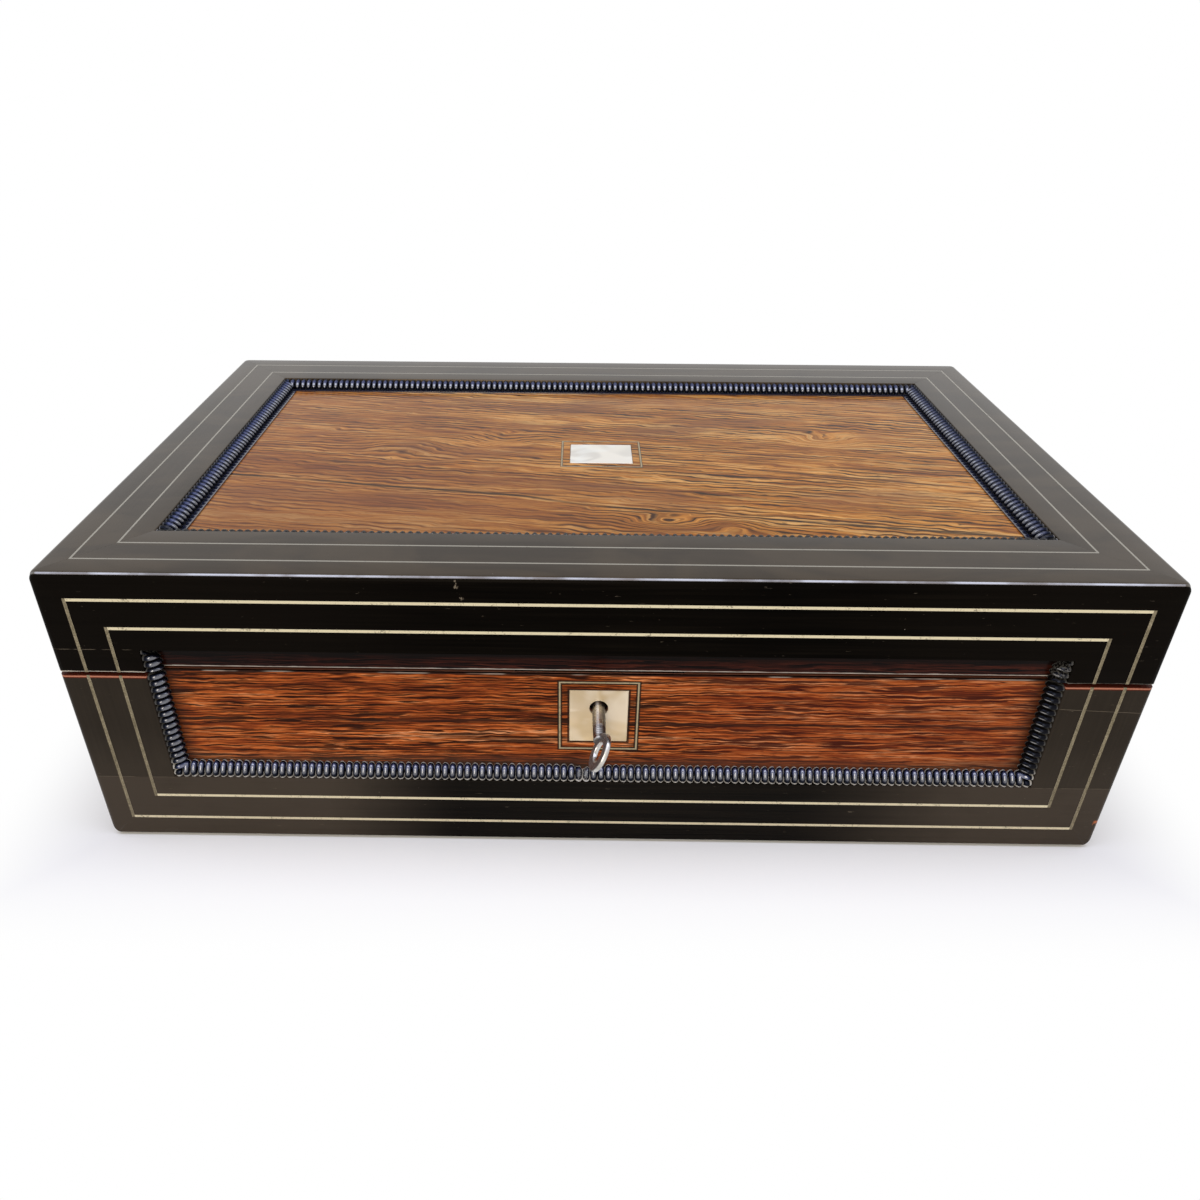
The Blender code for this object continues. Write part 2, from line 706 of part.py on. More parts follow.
# Pen tray between two ink bottles, behind the front board
def make_ink_and_pens():
    wall = block("tray_wall", mahogany, (-inside_half + seat_gap, inside_half - seat_gap),
                 (strip_back, tray_wall_back), (floor_height + seat_gap, case_height))
    saw_at_split(wall, BASE, half_gap + flap_below_rim + flap_thickness + seat_gap)
    cell_width = bottle_width + 2 * bottle_clearance
    divider_x = inside_half - cell_width
    tray_half = divider_x - partition_thickness - seat_gap
    strip = (front_board_back + seat_gap, strip_back - seat_gap)
    tray_depth = (lock_case_back + seat_gap, strip[1])
    tray_top = split_height(strip_back) - tray_below_split
    tray_bottom = tray_top - tray_thickness
    foot = floor_height + seat_gap
    bottle_foot = tray_top - cap_below_tray - cap_height - seat_gap - neck_height - bottle_height
    for label, way in (("left", -1), ("right", 1)):
        divider = block("cell_divider_" + label, mahogany,
                        sorted((way * divider_x, way * (divider_x - partition_thickness))), strip,
                        (foot, case_height))
        saw_at_split(divider, BASE, divider_below_split)
        raised_floor = block("cell_floor", None,
                             sorted((way * (divider_x - partition_thickness / 2), way * (inside_half - seat_gap))),
                             (strip[0] + seat_gap, strip[1] - seat_gap), (foot + seat_gap, bottle_foot - seat_gap))
        bearer = block("tray_bearer", None,
                       sorted((way * (divider_x - partition_thickness / 2), way * (tray_half - tray_bearer_size))),
                       (tray_depth[0], tray_depth[1] - seat_gap),
                       (tray_bottom - seat_gap - tray_bearer_size, tray_bottom - seat_gap))
        join(divider, raised_floor, bearer)
        make_bottle(label, way * (inside_half - cell_width / 2), sum(strip) / 2, bottle_foot)
    tray = block("pen_tray", mahogany, (-tray_half, tray_half), tray_depth, (tray_bottom, tray_top))
    half_chord = (tray_depth[1] - tray_depth[0]) / 2 - trough_margin
    radius = (half_chord ** 2 + trough_depth ** 2) / (2 * trough_depth)
    trough = rods("trough", None, radius, 2 * (tray_half - trough_margin), [ALONG_X], Matrix.Translation(
        (0, sum(tray_depth) / 2, tray_top + radius - trough_depth)), sides=2 * fine_sides)
    cut(tray, trough)


def make_bottle(label, x, y, foot):
    half = bottle_width / 2
    top = foot + bottle_height
    bottle = block("ink_bottle_" + label, glass, (x - half, x + half), (y - half, y + half), (foot, top))
    round_edges(bottle, bottle_clearance * 2, 1)
    sunk = neck_height / 2
    join(bottle, rods("neck", None, neck_radius, neck_height + sunk,
                      [Matrix.Translation((x, y, top + (neck_height - sunk) / 2))]))
    cap = rods("ink_cap_" + label, brass, cap_radius, cap_height, [WORLD],
               Matrix.Translation((x, y, top + neck_height + seat_gap + cap_height / 2)), sides=fine_sides)
    limit_bevel(cap, cap_height / 6)


def limit_bevel(piece, width):
    """Round only the sharp rims of a round piece."""
    bevel = round_edges(piece, width, 2).modifiers["Rounded edges"]
    bevel.limit_method = "ANGLE"
    bevel.angle_limit = math.radians(60)


# Box lock: case and plate in the base, link plate with staples in the lid, bolt and key
def make_lock():
    half = lock_case_width / 2
    bottom = keyhole_height - lock_case_drop
    wall = lock_case_wall
    x = (lock_offset - half, lock_offset + half)
    y = (lock_case_front, lock_case_back)
    case = block("lock_case", brass, x, y, (bottom, case_height))
    saw_at_split(case, BASE, half_gap + lock_plate_thickness + seat_gap)
    inner_x = (x[0] + wall, x[1] - wall)
    bar_front = y[1] - wall - bolt_from_case_back
    bar_top = keyhole_height + bolt_rise + bolt_bar_height
    cavity = block("case_cavity", None, inner_x, (y[0] + wall, bar_front), (bottom + wall, case_height))
    upper = block("case_upper_cavity", None, inner_x, (y[0] + 2 * wall, y[1] - wall), (bar_top, case_height))
    eye, slot = keyhole("case_keyhole", key_shank_radius + seat_gap, (y[0] - overrun, y[0] + 1.5 * wall))
    cut(case, cavity, upper, eye, slot)
    mortise = block("case_mortise", None, (x[0] - seat_gap, x[1] + seat_gap),
                    (y[0] - seat_gap, y[1] + overrun), (bottom - seat_gap, case_height))
    cut(bpy.data.objects["base_front_board"], mortise)
    bolt_y = (bar_front - seat_gap - bolt_thickness, bar_front - seat_gap)
    finger_z = (bar_top + bolt_finger_height * 2 / 3, bar_top + bolt_finger_height * 5 / 3)
    make_bolt(bolt_y, (bar_top - bolt_bar_height, bar_top), finger_z)
    make_plates(sum(bolt_y) / 2, finger_z)


def staple_centres():
    return [lock_offset + way * staple_spacing / 2 for way in (-1, 1)]


def make_bolt(y, bar_z, finger_z):
    """A sliding bar with two fingers that reach into the staples when it is thrown towards +X."""
    tip = staple_thickness / 2 + staple_play + seat_gap
    post = tip + bolt_finger_length
    first, last = staple_centres()
    bolt = block("lock_bolt", steel, (first - post - bolt_post_width, last - tip), y, bar_z)
    posts = blocks("bolt_posts", None, [
        ((x - post - bolt_post_width, x - post), y, (bar_z[1] - bolt_bar_height / 2, finger_z[1]))
        for x in staple_centres()])
    fingers = blocks("bolt_fingers", None, [
        ((x - post - bolt_post_width / 2, x - tip), y, finger_z) for x in staple_centres()])
    join(bolt, posts, fingers)


def make_plates(bolt_y, finger_z):
    eye_middle = in_split(bolt_y, sum(finger_z) / 2)
    eye_y = bolt_thickness / 2 + staple_play
    eye_z = bolt_finger_height / 2 + staple_play
    loop_y, loop_z = eye_y + staple_rim, eye_z + staple_rim
    thick = staple_thickness / 2
    level = half_gap + lock_plate_thickness
    x_range, y_range = lock_plate_ranges(0)
    plate = block("lock_plate", brass, x_range, y_range, (-level, -half_gap), SPLIT)
    slots = blocks("staple_slots", None, [
        ((x - thick - staple_play, x + thick + staple_play),
         (eye_middle.y - loop_y - staple_play, eye_middle.y + loop_y + staple_play),
         (-level - overrun, 0)) for x in staple_centres()], SPLIT)
    cut(plate, slots)
    link = block("lock_link_plate", brass, x_range, y_range, (half_gap, level), SPLIT, lid_axis)
    loops = blocks("staple_loops", None, [
        ((x - thick, x + thick), (eye_middle.y - loop_y, eye_middle.y + loop_y),
         (eye_middle.z - loop_z, (half_gap + level) / 2)) for x in staple_centres()], SPLIT)
    eyes = blocks("staple_eyes", None, [
        ((x - thick - overrun, x + thick + overrun), (eye_middle.y - eye_y, eye_middle.y + eye_y),
         (eye_middle.z - eye_z, eye_middle.z + eye_z)) for x in staple_centres()], SPLIT)
    cut(join(link, loops), eyes)


def make_key():
    """A turned shank with three collars, a ring bow, and a bit that lies inside the lock case."""
    place = (Matrix.Translation((lock_offset, front, keyhole_height)) @ Matrix.Rotation(key_lean, 4, "Y")
             @ ON_FRONT)
    axis = new_axis("key_axis", place)
    bit_end = front - (lock_case_front + lock_case_wall + seat_gap)
    tip = bit_end - key_bit_width - seat_gap
    profile = [(0, key_reach), (key_shank_radius, key_reach)]
    for step in range(3):
        top = key_reach - (step + 1) * 2 * key_collar_length
        profile += [(key_shank_radius, top + key_collar_length), (key_collar_radius, top + key_collar_length * 0.8),
                    (key_collar_radius, top + key_collar_length * 0.2), (key_shank_radius, top)]
    profile += [(key_shank_radius, tip), (0, tip)]
    key = turned("key", steel, profile, place, axis, steps=fine_sides // 2)
    bit = block("key_bit", None, (-key_bit_thickness / 2, key_bit_thickness / 2),
                (-key_bit_radius, 0), (bit_end - key_bit_width, bit_end), place)
    bpy.ops.mesh.primitive_torus_add(
        major_radius=key_bow_radius, minor_radius=key_bow_thickness, major_segments=fine_sides,
        minor_segments=round_sides // 2)
    bow = bpy.context.object
    bow.name = "key_bow"
    bow.matrix_world = place @ Matrix.Translation((0, 0, key_bow_centre)) @ ALONG_X
    bow.hide_render = True
    bow.display_type = "WIRE"
    for collection in list(bow.users_collection):
        collection.objects.unlink(bow)
    cutters.objects.link(bow)
    join(key, bit, bow)


make_boards()
make_front()
make_top()
make_strings()
make_ripples()
make_hinges()
make_flaps()
make_ink_and_pens()
make_lock()
make_key()
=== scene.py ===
"""Looks of a writing slope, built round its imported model. Metres, +Z up, the lock at -Y."""
import json
import math

import bmesh
import bpy
from mathutils import Matrix, Vector

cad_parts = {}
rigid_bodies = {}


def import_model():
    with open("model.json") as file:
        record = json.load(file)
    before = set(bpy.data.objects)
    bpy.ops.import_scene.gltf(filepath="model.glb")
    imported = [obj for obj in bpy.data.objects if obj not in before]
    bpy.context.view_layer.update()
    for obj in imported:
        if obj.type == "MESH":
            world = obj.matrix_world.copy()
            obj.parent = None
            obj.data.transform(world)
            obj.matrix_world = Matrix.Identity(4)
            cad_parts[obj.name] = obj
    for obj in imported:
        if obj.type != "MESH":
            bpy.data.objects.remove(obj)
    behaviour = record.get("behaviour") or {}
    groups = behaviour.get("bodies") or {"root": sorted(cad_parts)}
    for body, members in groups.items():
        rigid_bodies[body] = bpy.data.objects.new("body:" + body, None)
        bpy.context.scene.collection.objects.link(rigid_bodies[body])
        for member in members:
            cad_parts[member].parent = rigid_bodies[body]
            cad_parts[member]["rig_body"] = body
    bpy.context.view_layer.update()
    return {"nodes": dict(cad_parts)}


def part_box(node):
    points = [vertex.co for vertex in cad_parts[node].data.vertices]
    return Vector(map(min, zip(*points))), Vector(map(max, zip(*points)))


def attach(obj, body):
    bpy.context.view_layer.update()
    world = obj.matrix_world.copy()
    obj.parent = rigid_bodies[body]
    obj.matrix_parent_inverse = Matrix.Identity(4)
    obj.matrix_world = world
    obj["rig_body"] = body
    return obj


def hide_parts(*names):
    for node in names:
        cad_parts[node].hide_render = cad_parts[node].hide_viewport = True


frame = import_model()

# Camera: stands a little to the left of the lock, at the height of someone leaning over a table.
# Its place, turn and lens were worked out from the corners of the box and its inlaid lines.
camera_place = (-0.00994, -0.39295, 0.29141)
rightward = Vector((0.99989, 0.01388, 0.00438)).normalized()
backward = Vector((0.00975, -0.86213, 0.50659)).normalized()
film_width = 36.0
picture_pixels, focal_pixels, middle_pixel = 1200, 918.95, (569.35, 568.55)


def linked(name, data):
    """An object in the scene that holds a camera, a lamp or a mesh."""
    holder = bpy.data.objects.new(name, data)
    bpy.context.scene.collection.objects.link(holder)
    return holder


camera = linked("camera", bpy.data.cameras.new("camera"))
camera.matrix_world = Matrix.Translation(camera_place) @ Matrix(
    (rightward, backward.cross(rightward), backward)).transposed().to_4x4()
camera.data.sensor_width = film_width
camera.data.lens = film_width * focal_pixels / picture_pixels
camera.data.shift_x = (picture_pixels / 2 - middle_pixel[0]) / picture_pixels
camera.data.shift_y = (middle_pixel[1] - picture_pixels / 2) / picture_pixels
camera.data.clip_start = 0.01
bpy.context.scene.camera = camera
bpy.context.scene.view_settings.view_transform = "Standard"


# Finishes: every surface is painted with nodes. A shade is a number or colour that varies over a
# piece, so that a finish reads as plain arithmetic on where a point of the piece lies.
class Shade:
    """The output of a node, on which the usual signs add Math nodes."""

    def __init__(self, finish, socket):
        self.finish, self.socket = finish, socket

    def math(self, operation, *others):
        """A Math node on this shade and the others."""
        return self.finish.node("ShaderNodeMath", {"operation": operation},
                                dict(enumerate((self, *others))))

    def __add__(self, other):
        return self.math("ADD", other)

    def __sub__(self, other):
        return self.math("SUBTRACT", other)

    def __rsub__(self, other):
        return self.finish.node("ShaderNodeMath", {"operation": "SUBTRACT"}, {0: other, 1: self})

    def __mul__(self, other):
        return self.math("MULTIPLY", other)

    def __abs__(self):
        return self.math("ABSOLUTE")

    __radd__, __rmul__ = __add__, __mul__

    def either(self, other):
        """The larger of two shades."""
        return self.math("MAXIMUM", other)

    def between(self, low, high):
        """0 below low, 1 above high, and smooth from one to the other."""
        return self.finish.node("ShaderNodeMapRange", {"interpolation_type": "SMOOTHSTEP"},
                                {0: self, 1: low, 2: high})

    def near(self, spot, reach, soft=0.5):
        """1 at a place, and 0 beyond its reach; soft is the share of the reach that stays 1."""
        return 1 - abs(self - spot).between(reach * soft, reach)


class Finish:
    """A material, with the place of each point of the piece as the shades x, y and z."""

    def __init__(self, name, **even):
        self.material = bpy.data.materials.new(name)
        self.material.use_nodes = True
        self.shader = self.material.node_tree.nodes["Principled BSDF"]
        self.keep_even(**even)
        self.place = self.node("ShaderNodeTexCoord", {}, {}, "Object")
        parts = self.node("ShaderNodeSeparateXYZ", {}, {0: self.place}).socket.node
        self.x, self.y, self.z = (Shade(self, socket) for socket in parts.outputs)

    def keep_even(self, **sockets):
        """Set what is the same all over the piece."""
        for words, value in sockets.items():
            self.shader.inputs[words.replace("_", " ")].default_value = value

    def node(self, kind, settings, sockets, out=0):
        """Any node: its settings come first, a ramp's stops among them, and then its sockets."""
        made = self.material.node_tree.nodes.new(kind)
        for setting, value in settings.items():
            if setting == "stops":
                while len(made.color_ramp.elements) < len(value):
                    made.color_ramp.elements.new(0.5)
                for element, (spot, colour) in zip(made.color_ramp.elements, value):
                    element.position, element.color = spot, (*colour, 1)
            else:
                setattr(made, setting, value)
        for socket, value in sockets.items():
            if isinstance(value, Shade):
                self.material.node_tree.links.new(value.socket, made.inputs[socket])
            else:
                made.inputs[socket].default_value = value
        return Shade(self, made.outputs[out])

    def stretched(self, scale, shift=(0, 0, 0)):
        """The place on the piece, scaled along each axis."""
        return self.node("ShaderNodeMapping", {"vector_type": "POINT"},
                         {"Vector": self.place, "Scale": scale, "Location": shift})

    def noise(self, scale, detail=3.0, roughness=0.55, warp=0.0, shift=(0, 0, 0)):
        return self.node("ShaderNodeTexNoise", {}, {
            "Vector": self.stretched(scale, shift), "Scale": 1.0, "Detail": detail,
            "Roughness": roughness, "Distortion": warp})

    def ramp(self, value, *stops):
        return self.node("ShaderNodeValToRGB", {"stops": stops}, {0: value})

    def mix(self, first, second, share):
        colours = [c if isinstance(c, Shade) else (*c, 1) for c in (first, second)]
        return self.node("ShaderNodeMix", {"data_type": "RGBA"},
                         {0: share, 6: colours[0], 7: colours[1]}, 2)

    def layered(self, colour, *coats):
        """Lay each tint over the last, as far as its share says."""
        for tint, share in coats:
            colour = self.mix(colour, tint, share)
        return colour

    def paint(self, **sockets):
        """Link what varies over the piece."""
        for words, value in sockets.items():
            self.material.node_tree.links.new(value.socket, self.shader.inputs[words.replace("_", " ")])

    def relief(self, height, depth, strength):
        self.paint(Normal=self.node("ShaderNodeBump", {}, {
            "Strength": strength, "Distance": depth, "Height": height}))


# Floor and light: a pale table top, fading into a white room, under a long soft lamp overhead and
# a tall narrow one in front. The floor keeps the box's shadow. None of this belongs to the box.
def glance(tree):
    """1 where the camera looks, or where metal, glass or polish looks for it, and 0 for light."""
    path = tree.nodes.new("ShaderNodeLightPath")
    total = path.outputs["Is Camera Ray"]
    for kind in ("Is Glossy Ray", "Is Transmission Ray"):
        larger = tree.nodes.new("ShaderNodeMath")
        larger.operation = "MAXIMUM"
        tree.links.new(total, larger.inputs[0])
        tree.links.new(path.outputs[kind], larger.inputs[1])
        total = larger.outputs[0]
    return total


def meshed(name, mesh):
    """An object of a finished mesh, which is then let go."""
    data = bpy.data.meshes.new(name)
    mesh.to_mesh(data)
    mesh.free()
    return linked(name, data)


floor_half = 12.0
shadow_half_width, shadow_half_depth, fade = 0.20, 0.12, (-0.01, 0.06)
floor_mesh = bmesh.new()
bmesh.ops.create_grid(floor_mesh, x_segments=1, y_segments=1, size=floor_half)
floor = meshed("floor", floor_mesh)
floor_paint = Finish("floor_paint", Roughness=0.9, Base_Color=(0.94, 0.92, 0.87, 1), Specular_IOR_Level=0.0)
floor_tree = floor_paint.material.node_tree
away = (abs(floor_paint.x) - shadow_half_width).either(
    abs(floor_paint.y) - shadow_half_depth).between(*fade)
white = floor_paint.node("ShaderNodeEmission", {}, {"Color": (1, 1, 1, 1), "Strength": 1.0})
blend = floor_paint.node("ShaderNodeMixShader", {}, {
    0: away * Shade(floor_paint, glance(floor_tree)), 2: white})
floor_tree.links.new(floor_paint.shader.outputs[0], blend.socket.node.inputs[1])
floor_tree.links.new(blend.socket, floor_tree.nodes["Material Output"].inputs[0])
floor.data.materials.append(floor_paint.material)

room = bpy.data.worlds.new("room")
room.use_nodes = True
bpy.context.scene.world = room
room_light = room.node_tree.nodes["Background"]
room_light.inputs["Color"].default_value = (1.0, 0.95, 0.88, 1)
room_light.inputs["Strength"].default_value = 0.18
backdrop = room.node_tree.nodes.new("ShaderNodeBackground")
backdrop.inputs["Color"].default_value = (1, 1, 1, 1)
chosen = room.node_tree.nodes.new("ShaderNodeMixShader")
for source, target in (
        (glance(room.node_tree), chosen.inputs[0]), (room_light.outputs[0], chosen.inputs[1]),
        (backdrop.outputs[0], chosen.inputs[2]),
        (chosen.outputs[0], room.node_tree.nodes["World Output"].inputs[0])):
    room.node_tree.links.new(source, target)

for lamp_name, spot, aim, width, depth, power, colour in (
        ("lamp_overhead", (0, -0.20, 1.20), (0, -0.20, 0), 2.4, 0.7, 16.5, (0.70, 0.76, 1.0)),
        ("lamp_front", (-0.20, -1.50, 0.80), (0, 0, 0.06), 0.5, 1.3, 14.5, (1.0, 0.92, 0.80))):
    lamp = linked(lamp_name, bpy.data.lights.new(lamp_name, "AREA"))
    lamp.data.shape, lamp.data.size, lamp.data.size_y = "RECTANGLE", width, depth
    lamp.data.energy, lamp.data.color = power, colour
    lamp.matrix_world = Matrix.Translation(spot) @ (
        Vector(aim) - Vector(spot)).to_track_quat("-Z", "Y").to_matrix().to_4x4()


# Boards of the carcase: mahogany, glued up as a bottom, four sides and a top, and cut through on
# the slope where the lid meets the base. Outside they carry a thin ebonised skin; the cut rim and
# the inside show the mahogany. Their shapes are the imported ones, with the sharp edges eased.
half_width, half_depth, height = 0.203, 0.1205, 0.127
split_share, pivot_y = 0.659, 0.1228
split_at_front = height * split_share
pivot = Vector((0, pivot_y, height / 2))
slope = math.atan2(split_at_front - pivot.z, pivot.y + half_depth)
split_up = Vector((0, math.sin(slope), math.cos(slope)))
half_gap, hairline = 0.0008, 0.00005
case_bottom, corner, touching = 0.0013, 0.0035, 1e-5
skin, foot_skin = (0.0012, 0.0010), (0.0022, 0.0024)
board_edge, inner_board_edge, sharpest_left = 0.00012, 0.00015, 40
warm_gleam = (1.0, 0.84, 0.68, 1)


def set_out(name, mesh, finish, body, nodes=(), smooth=35):
    """Make a piece of a mesh, and let it go with its body in place of the nodes it stands for. Edges
    sharper than smooth, in degrees, stay crisp."""
    piece = meshed(name, mesh)
    piece.data.polygons.foreach_set("use_smooth", [True] * len(piece.data.polygons))
    piece.data.set_sharp_from_angle(angle=math.radians(smooth))
    piece.data.materials.append(finish.material)
    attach(piece, body)
    if nodes:
        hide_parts(*nodes)
    return piece


def eased(node, finish, edge):
    """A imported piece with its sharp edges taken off, as sandpaper leaves them. The case's corners at
    the back and along the foot of its sides are rounded as well."""
    mesh = bmesh.new()
    mesh.from_mesh(frame["nodes"][node].data)
    bmesh.ops.remove_doubles(mesh, verts=mesh.verts, dist=1e-6)
    bmesh.ops.dissolve_limit(mesh, angle_limit=math.radians(0.5), verts=mesh.verts, edges=mesh.edges)
    round_corners = [line for line in mesh.edges if line.is_convex and all(
        abs(vert.co.x) > half_width - touching
        and (vert.co.y > half_depth - touching or vert.co.z < case_bottom + touching)
        for vert in line.verts)]
    bmesh.ops.bevel(mesh, geom=round_corners, offset=corner, segments=8, profile=0.5, affect="EDGES")
    sharp = [line for line in mesh.edges if line.is_manifold and line.is_convex
             and line.calc_face_angle() > math.radians(sharpest_left)]
    bmesh.ops.bevel(mesh, geom=sharp, offset=edge, segments=2, profile=0.5, affect="EDGES",
                    clamp_overlap=True)
    bmesh.ops.triangulate(mesh, faces=[face for face in mesh.faces if len(face.verts) > 4])
    return set_out(node + "_eased", mesh, finish, frame["nodes"][node]["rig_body"], [node])


def across_grain(finish, along, fine, long):
    """The scale of a pattern that is drawn out along one way of the wood."""
    return tuple(long if way == along else fine for way in "xyz")


def split_distance(finish):
    """How far a point lies above the middle of the split, measured square to it."""
    return (finish.y - pivot.y) * split_up.y + (finish.z - pivot.z) * split_up.z


def mahogany_colour(finish, along):
    """Red-brown wood: fine grain over broad bands, with dark pores. Gives its colour and grain."""
    grain = finish.noise(across_grain(finish, along, 420, 9), 5, 0.65, 0.3)
    bands = finish.noise(across_grain(finish, along, 45, 2.5), 2, 0.5, 0.6)
    pores = finish.noise(across_grain(finish, along, 2600, 130), 2, 0.5)
    body = finish.ramp(grain * 0.6 + bands * 0.4, (0.30, (0.060, 0.016, 0.008)),
                       (0.50, (0.150, 0.045, 0.020)), (0.68, (0.235, 0.082, 0.038)))
    return finish.mix(body, (0.03, 0.009, 0.005), pores.between(0.60, 0.72) * 0.8), grain


def ebonised_colour(finish, along, depth=1.0):
    """Black stain through which a little of the brown wood shows, with dust in a few pin holes.
    Gives its colour, its grain and its clouds."""
    grain = finish.noise(across_grain(finish, along, 700, 14), 5, 0.65, 0.2)
    cloud = finish.noise((14, 14, 14), 3, 0.6)
    body = finish.ramp(grain * 0.7 + cloud * 0.3, *(
        (spot, tuple(tint * depth for tint in colour)) for spot, colour in (
            (0.36, (0.0030, 0.0025, 0.0019)), (0.54, (0.0085, 0.0065, 0.0047)),
            (0.72, (0.0200, 0.0150, 0.0100)))))
    pins = finish.node("ShaderNodeTexVoronoi", {}, {"Vector": finish.stretched((70, 70, 70)), "Scale": 1.0})
    return finish.mix(body, (0.30, 0.27, 0.22), 1 - pins.between(0.008, 0.016)), grain, cloud


carcase = {}
for along in "xy":
    finish = Finish("ebonised_boards_" + along, Roughness=0.2, Specular_IOR_Level=0.12,
                    Specular_Tint=warm_gleam)
    wood, wood_grain = mahogany_colour(finish, along)
    black, grain, cloud = ebonised_colour(finish, along)
    stained = (abs(finish.x).between(*(half_width - depth for depth in skin))).either(
        finish.y.between(*(half_depth - depth for depth in skin)).either(1 - finish.z.between(*foot_skin)))
    rim = 1 - abs(split_distance(finish)).between(half_gap + 0.0002, half_gap + 0.0004)
    outside = stained * (1 - rim)
    finish.paint(Base_Color=finish.mix(wood, black, outside),
                 Roughness=0.42 - outside * 0.24 + cloud * 0.08)
    finish.relief(wood_grain * (1 - outside) + grain * 0.25, 0.00008, 0.35)
    carcase[along] = finish
for node in ("base_left_board", "base_right_board", "lid_left_board", "lid_right_board"):
    eased(node, carcase["y"], board_edge)
for node in ("base_back_board", "lid_back_board"):
    eased(node, carcase["x"], board_edge)

mahogany = {}
for along in "xyz":
    finish = mahogany[along] = Finish("mahogany_" + along, Roughness=0.4)
    colour, grain = mahogany_colour(finish, along)
    finish.paint(Base_Color=colour, Roughness=0.34 + grain * 0.2)
    finish.relief(grain, 0.00008, 0.35)
for node in ("base_bottom_board", "base_front_board", "lid_front_board", "lid_top_board"):
    eased(node, mahogany["x"], inner_board_edge)


# Baize: green wool cloth glued under the bottom board, so that the box slides on a table without
# marking it. A cut sheet with a plain edge.
pile = 0.0003
baize = Finish("green_baize", Roughness=0.95)
nap = baize.noise((900, 900, 900), 4, 0.7)
worn = baize.noise((25, 25, 25), 3, 0.6)
baize.paint(Base_Color=baize.ramp(nap * 0.6 + worn * 0.4, (0.3, (0.012, 0.045, 0.024)),
                                  (0.7, (0.045, 0.13, 0.075))))
baize.relief(nap, pile, 0.8)
eased("base_baize", baize, pile)


# Front frame: ebonised wood 5.8 mm thick round the sunk panel. The bottom rail runs the full
# width and the stiles stand on it with a butt joint; above the split the lid has its own top rail
# and short stiles in one. Towards both ends, most of all low down, its black carries a painted
# brown-grey reflection of a pale table in front.
arris, arris_steps = 0.0023, 8
frame_width, frame_depth = 0.0326, 0.0058
string_insets, string_width, top_string_width = (0.0108, 0.0229), 0.0012, 0.0008
groove_depth, groove_play = 0.0005, 0.00004
inner_ease, ease_steps = 0.0004, 4
foot_ease, worn_rim = 0.0003, 0.0005
FRONT = Matrix.Translation((0, -half_depth, 0)) @ Matrix.Rotation(math.pi / 2, 4, "X")
front_face = (-half_width, half_width, 0, height)
top_face = (-half_width, half_width, -half_depth, half_depth)


def bridged(mesh, rings):
    """Join each ring of points to the next with four-sided faces."""
    for near, far in zip(rings, rings[1:]):
        for index in range(len(near)):
            mesh.faces.new((near[index - 1], near[index], far[index], far[index - 1]))


def nest(loops, place=Matrix.Identity(4), closed=True, steps=8):
    """A mesh between rectangles inside one another. Each has a left, right, near and far side, the
    radius of its corners and a height; the last meets the first, or else both are filled."""
    mesh = bmesh.new()
    rings = []
    for x0, x1, y0, y1, radius, level in loops:
        ring = []
        for quarter, (x, y, sx, sy) in enumerate(((x1, y1, 1, 1), (x0, y1, -1, 1), (x0, y0, -1, -1),
                                                  (x1, y0, 1, -1))):
            for step in range(steps + 1):
                turn = math.pi / 2 * (quarter + step / steps)
                ring.append(mesh.verts.new(place @ Vector((
                    x + radius * (math.cos(turn) - sx), y + radius * (math.sin(turn) - sy), level))))
        rings.append(ring)
    bridged(mesh, rings + rings[:1] if closed else rings)
    if not closed:
        mesh.faces.new(rings[0])
        mesh.faces.new(rings[-1])
    bmesh.ops.remove_doubles(mesh, verts=mesh.verts, dist=1e-7)
    bmesh.ops.recalc_face_normals(mesh, faces=mesh.faces)
    return mesh


def inside(face, inset, radius, level, foot=0.0):
    """A rectangle drawn in from another by an inset, and at its near side by no less than the foot."""
    x0, x1, y0, y1 = face
    return x0 + inset, x1 - inset, y0 + max(inset, foot), y1 - inset, radius, level


def frame_loops(face, level, under, line, foot=0.0):
    """Section of a frame: outer wall, rounded arris, two grooves, eased inner edge, inner wall."""
    loops = [inside(face, 0, corner, under, foot)]
    for step in range(arris_steps + 1):
        turn = math.pi / 2 * step / arris_steps
        inset = arris * (1 - math.cos(turn))
        x0, x1, y0, y1, _, _ = inside(face, inset, 0, 0)
        low = face[2] + foot + min(inset, foot_ease) if foot else y0
        loops.append((x0, x1, low, y1, corner - inset, level - arris * (1 - math.sin(turn))))
    for groove in string_insets:
        near, far = (groove + side * (line / 2 + groove_play) for side in (-1, 1))
        loops += [inside(face, near, 0, level), inside(face, near, 0, level - groove_depth),
                  inside(face, far, 0, level - groove_depth), inside(face, far, 0, level)]
    for step in range(ease_steps + 1):
        turn = math.pi / 2 * step / ease_steps
        loops.append(inside(face, frame_width - inner_ease * (1 - math.sin(turn)), 0,
                            level - inner_ease * (1 - math.cos(turn))))
    loops.append(inside(face, frame_width, 0, under))
    return loops


def sawn(mesh, *cuts):
    """Take off what lies beyond each plane, given by a point and the way out, and close the cut."""
    for point, outward in cuts:
        bmesh.ops.bisect_plane(mesh, geom=mesh.verts[:] + mesh.edges[:] + mesh.faces[:], dist=1e-7,
                               plane_co=point, plane_no=outward, clear_outer=True)
        bmesh.ops.holes_fill(mesh, edges=[line for line in mesh.edges if line.is_boundary])
    bmesh.ops.recalc_face_normals(mesh, faces=mesh.faces)
    return mesh


def at_split(side):
    """The cut that keeps a piece on its own side of the split: -1 for the base, 1 for the lid."""
    return pivot + split_up * side * half_gap, -split_up * side


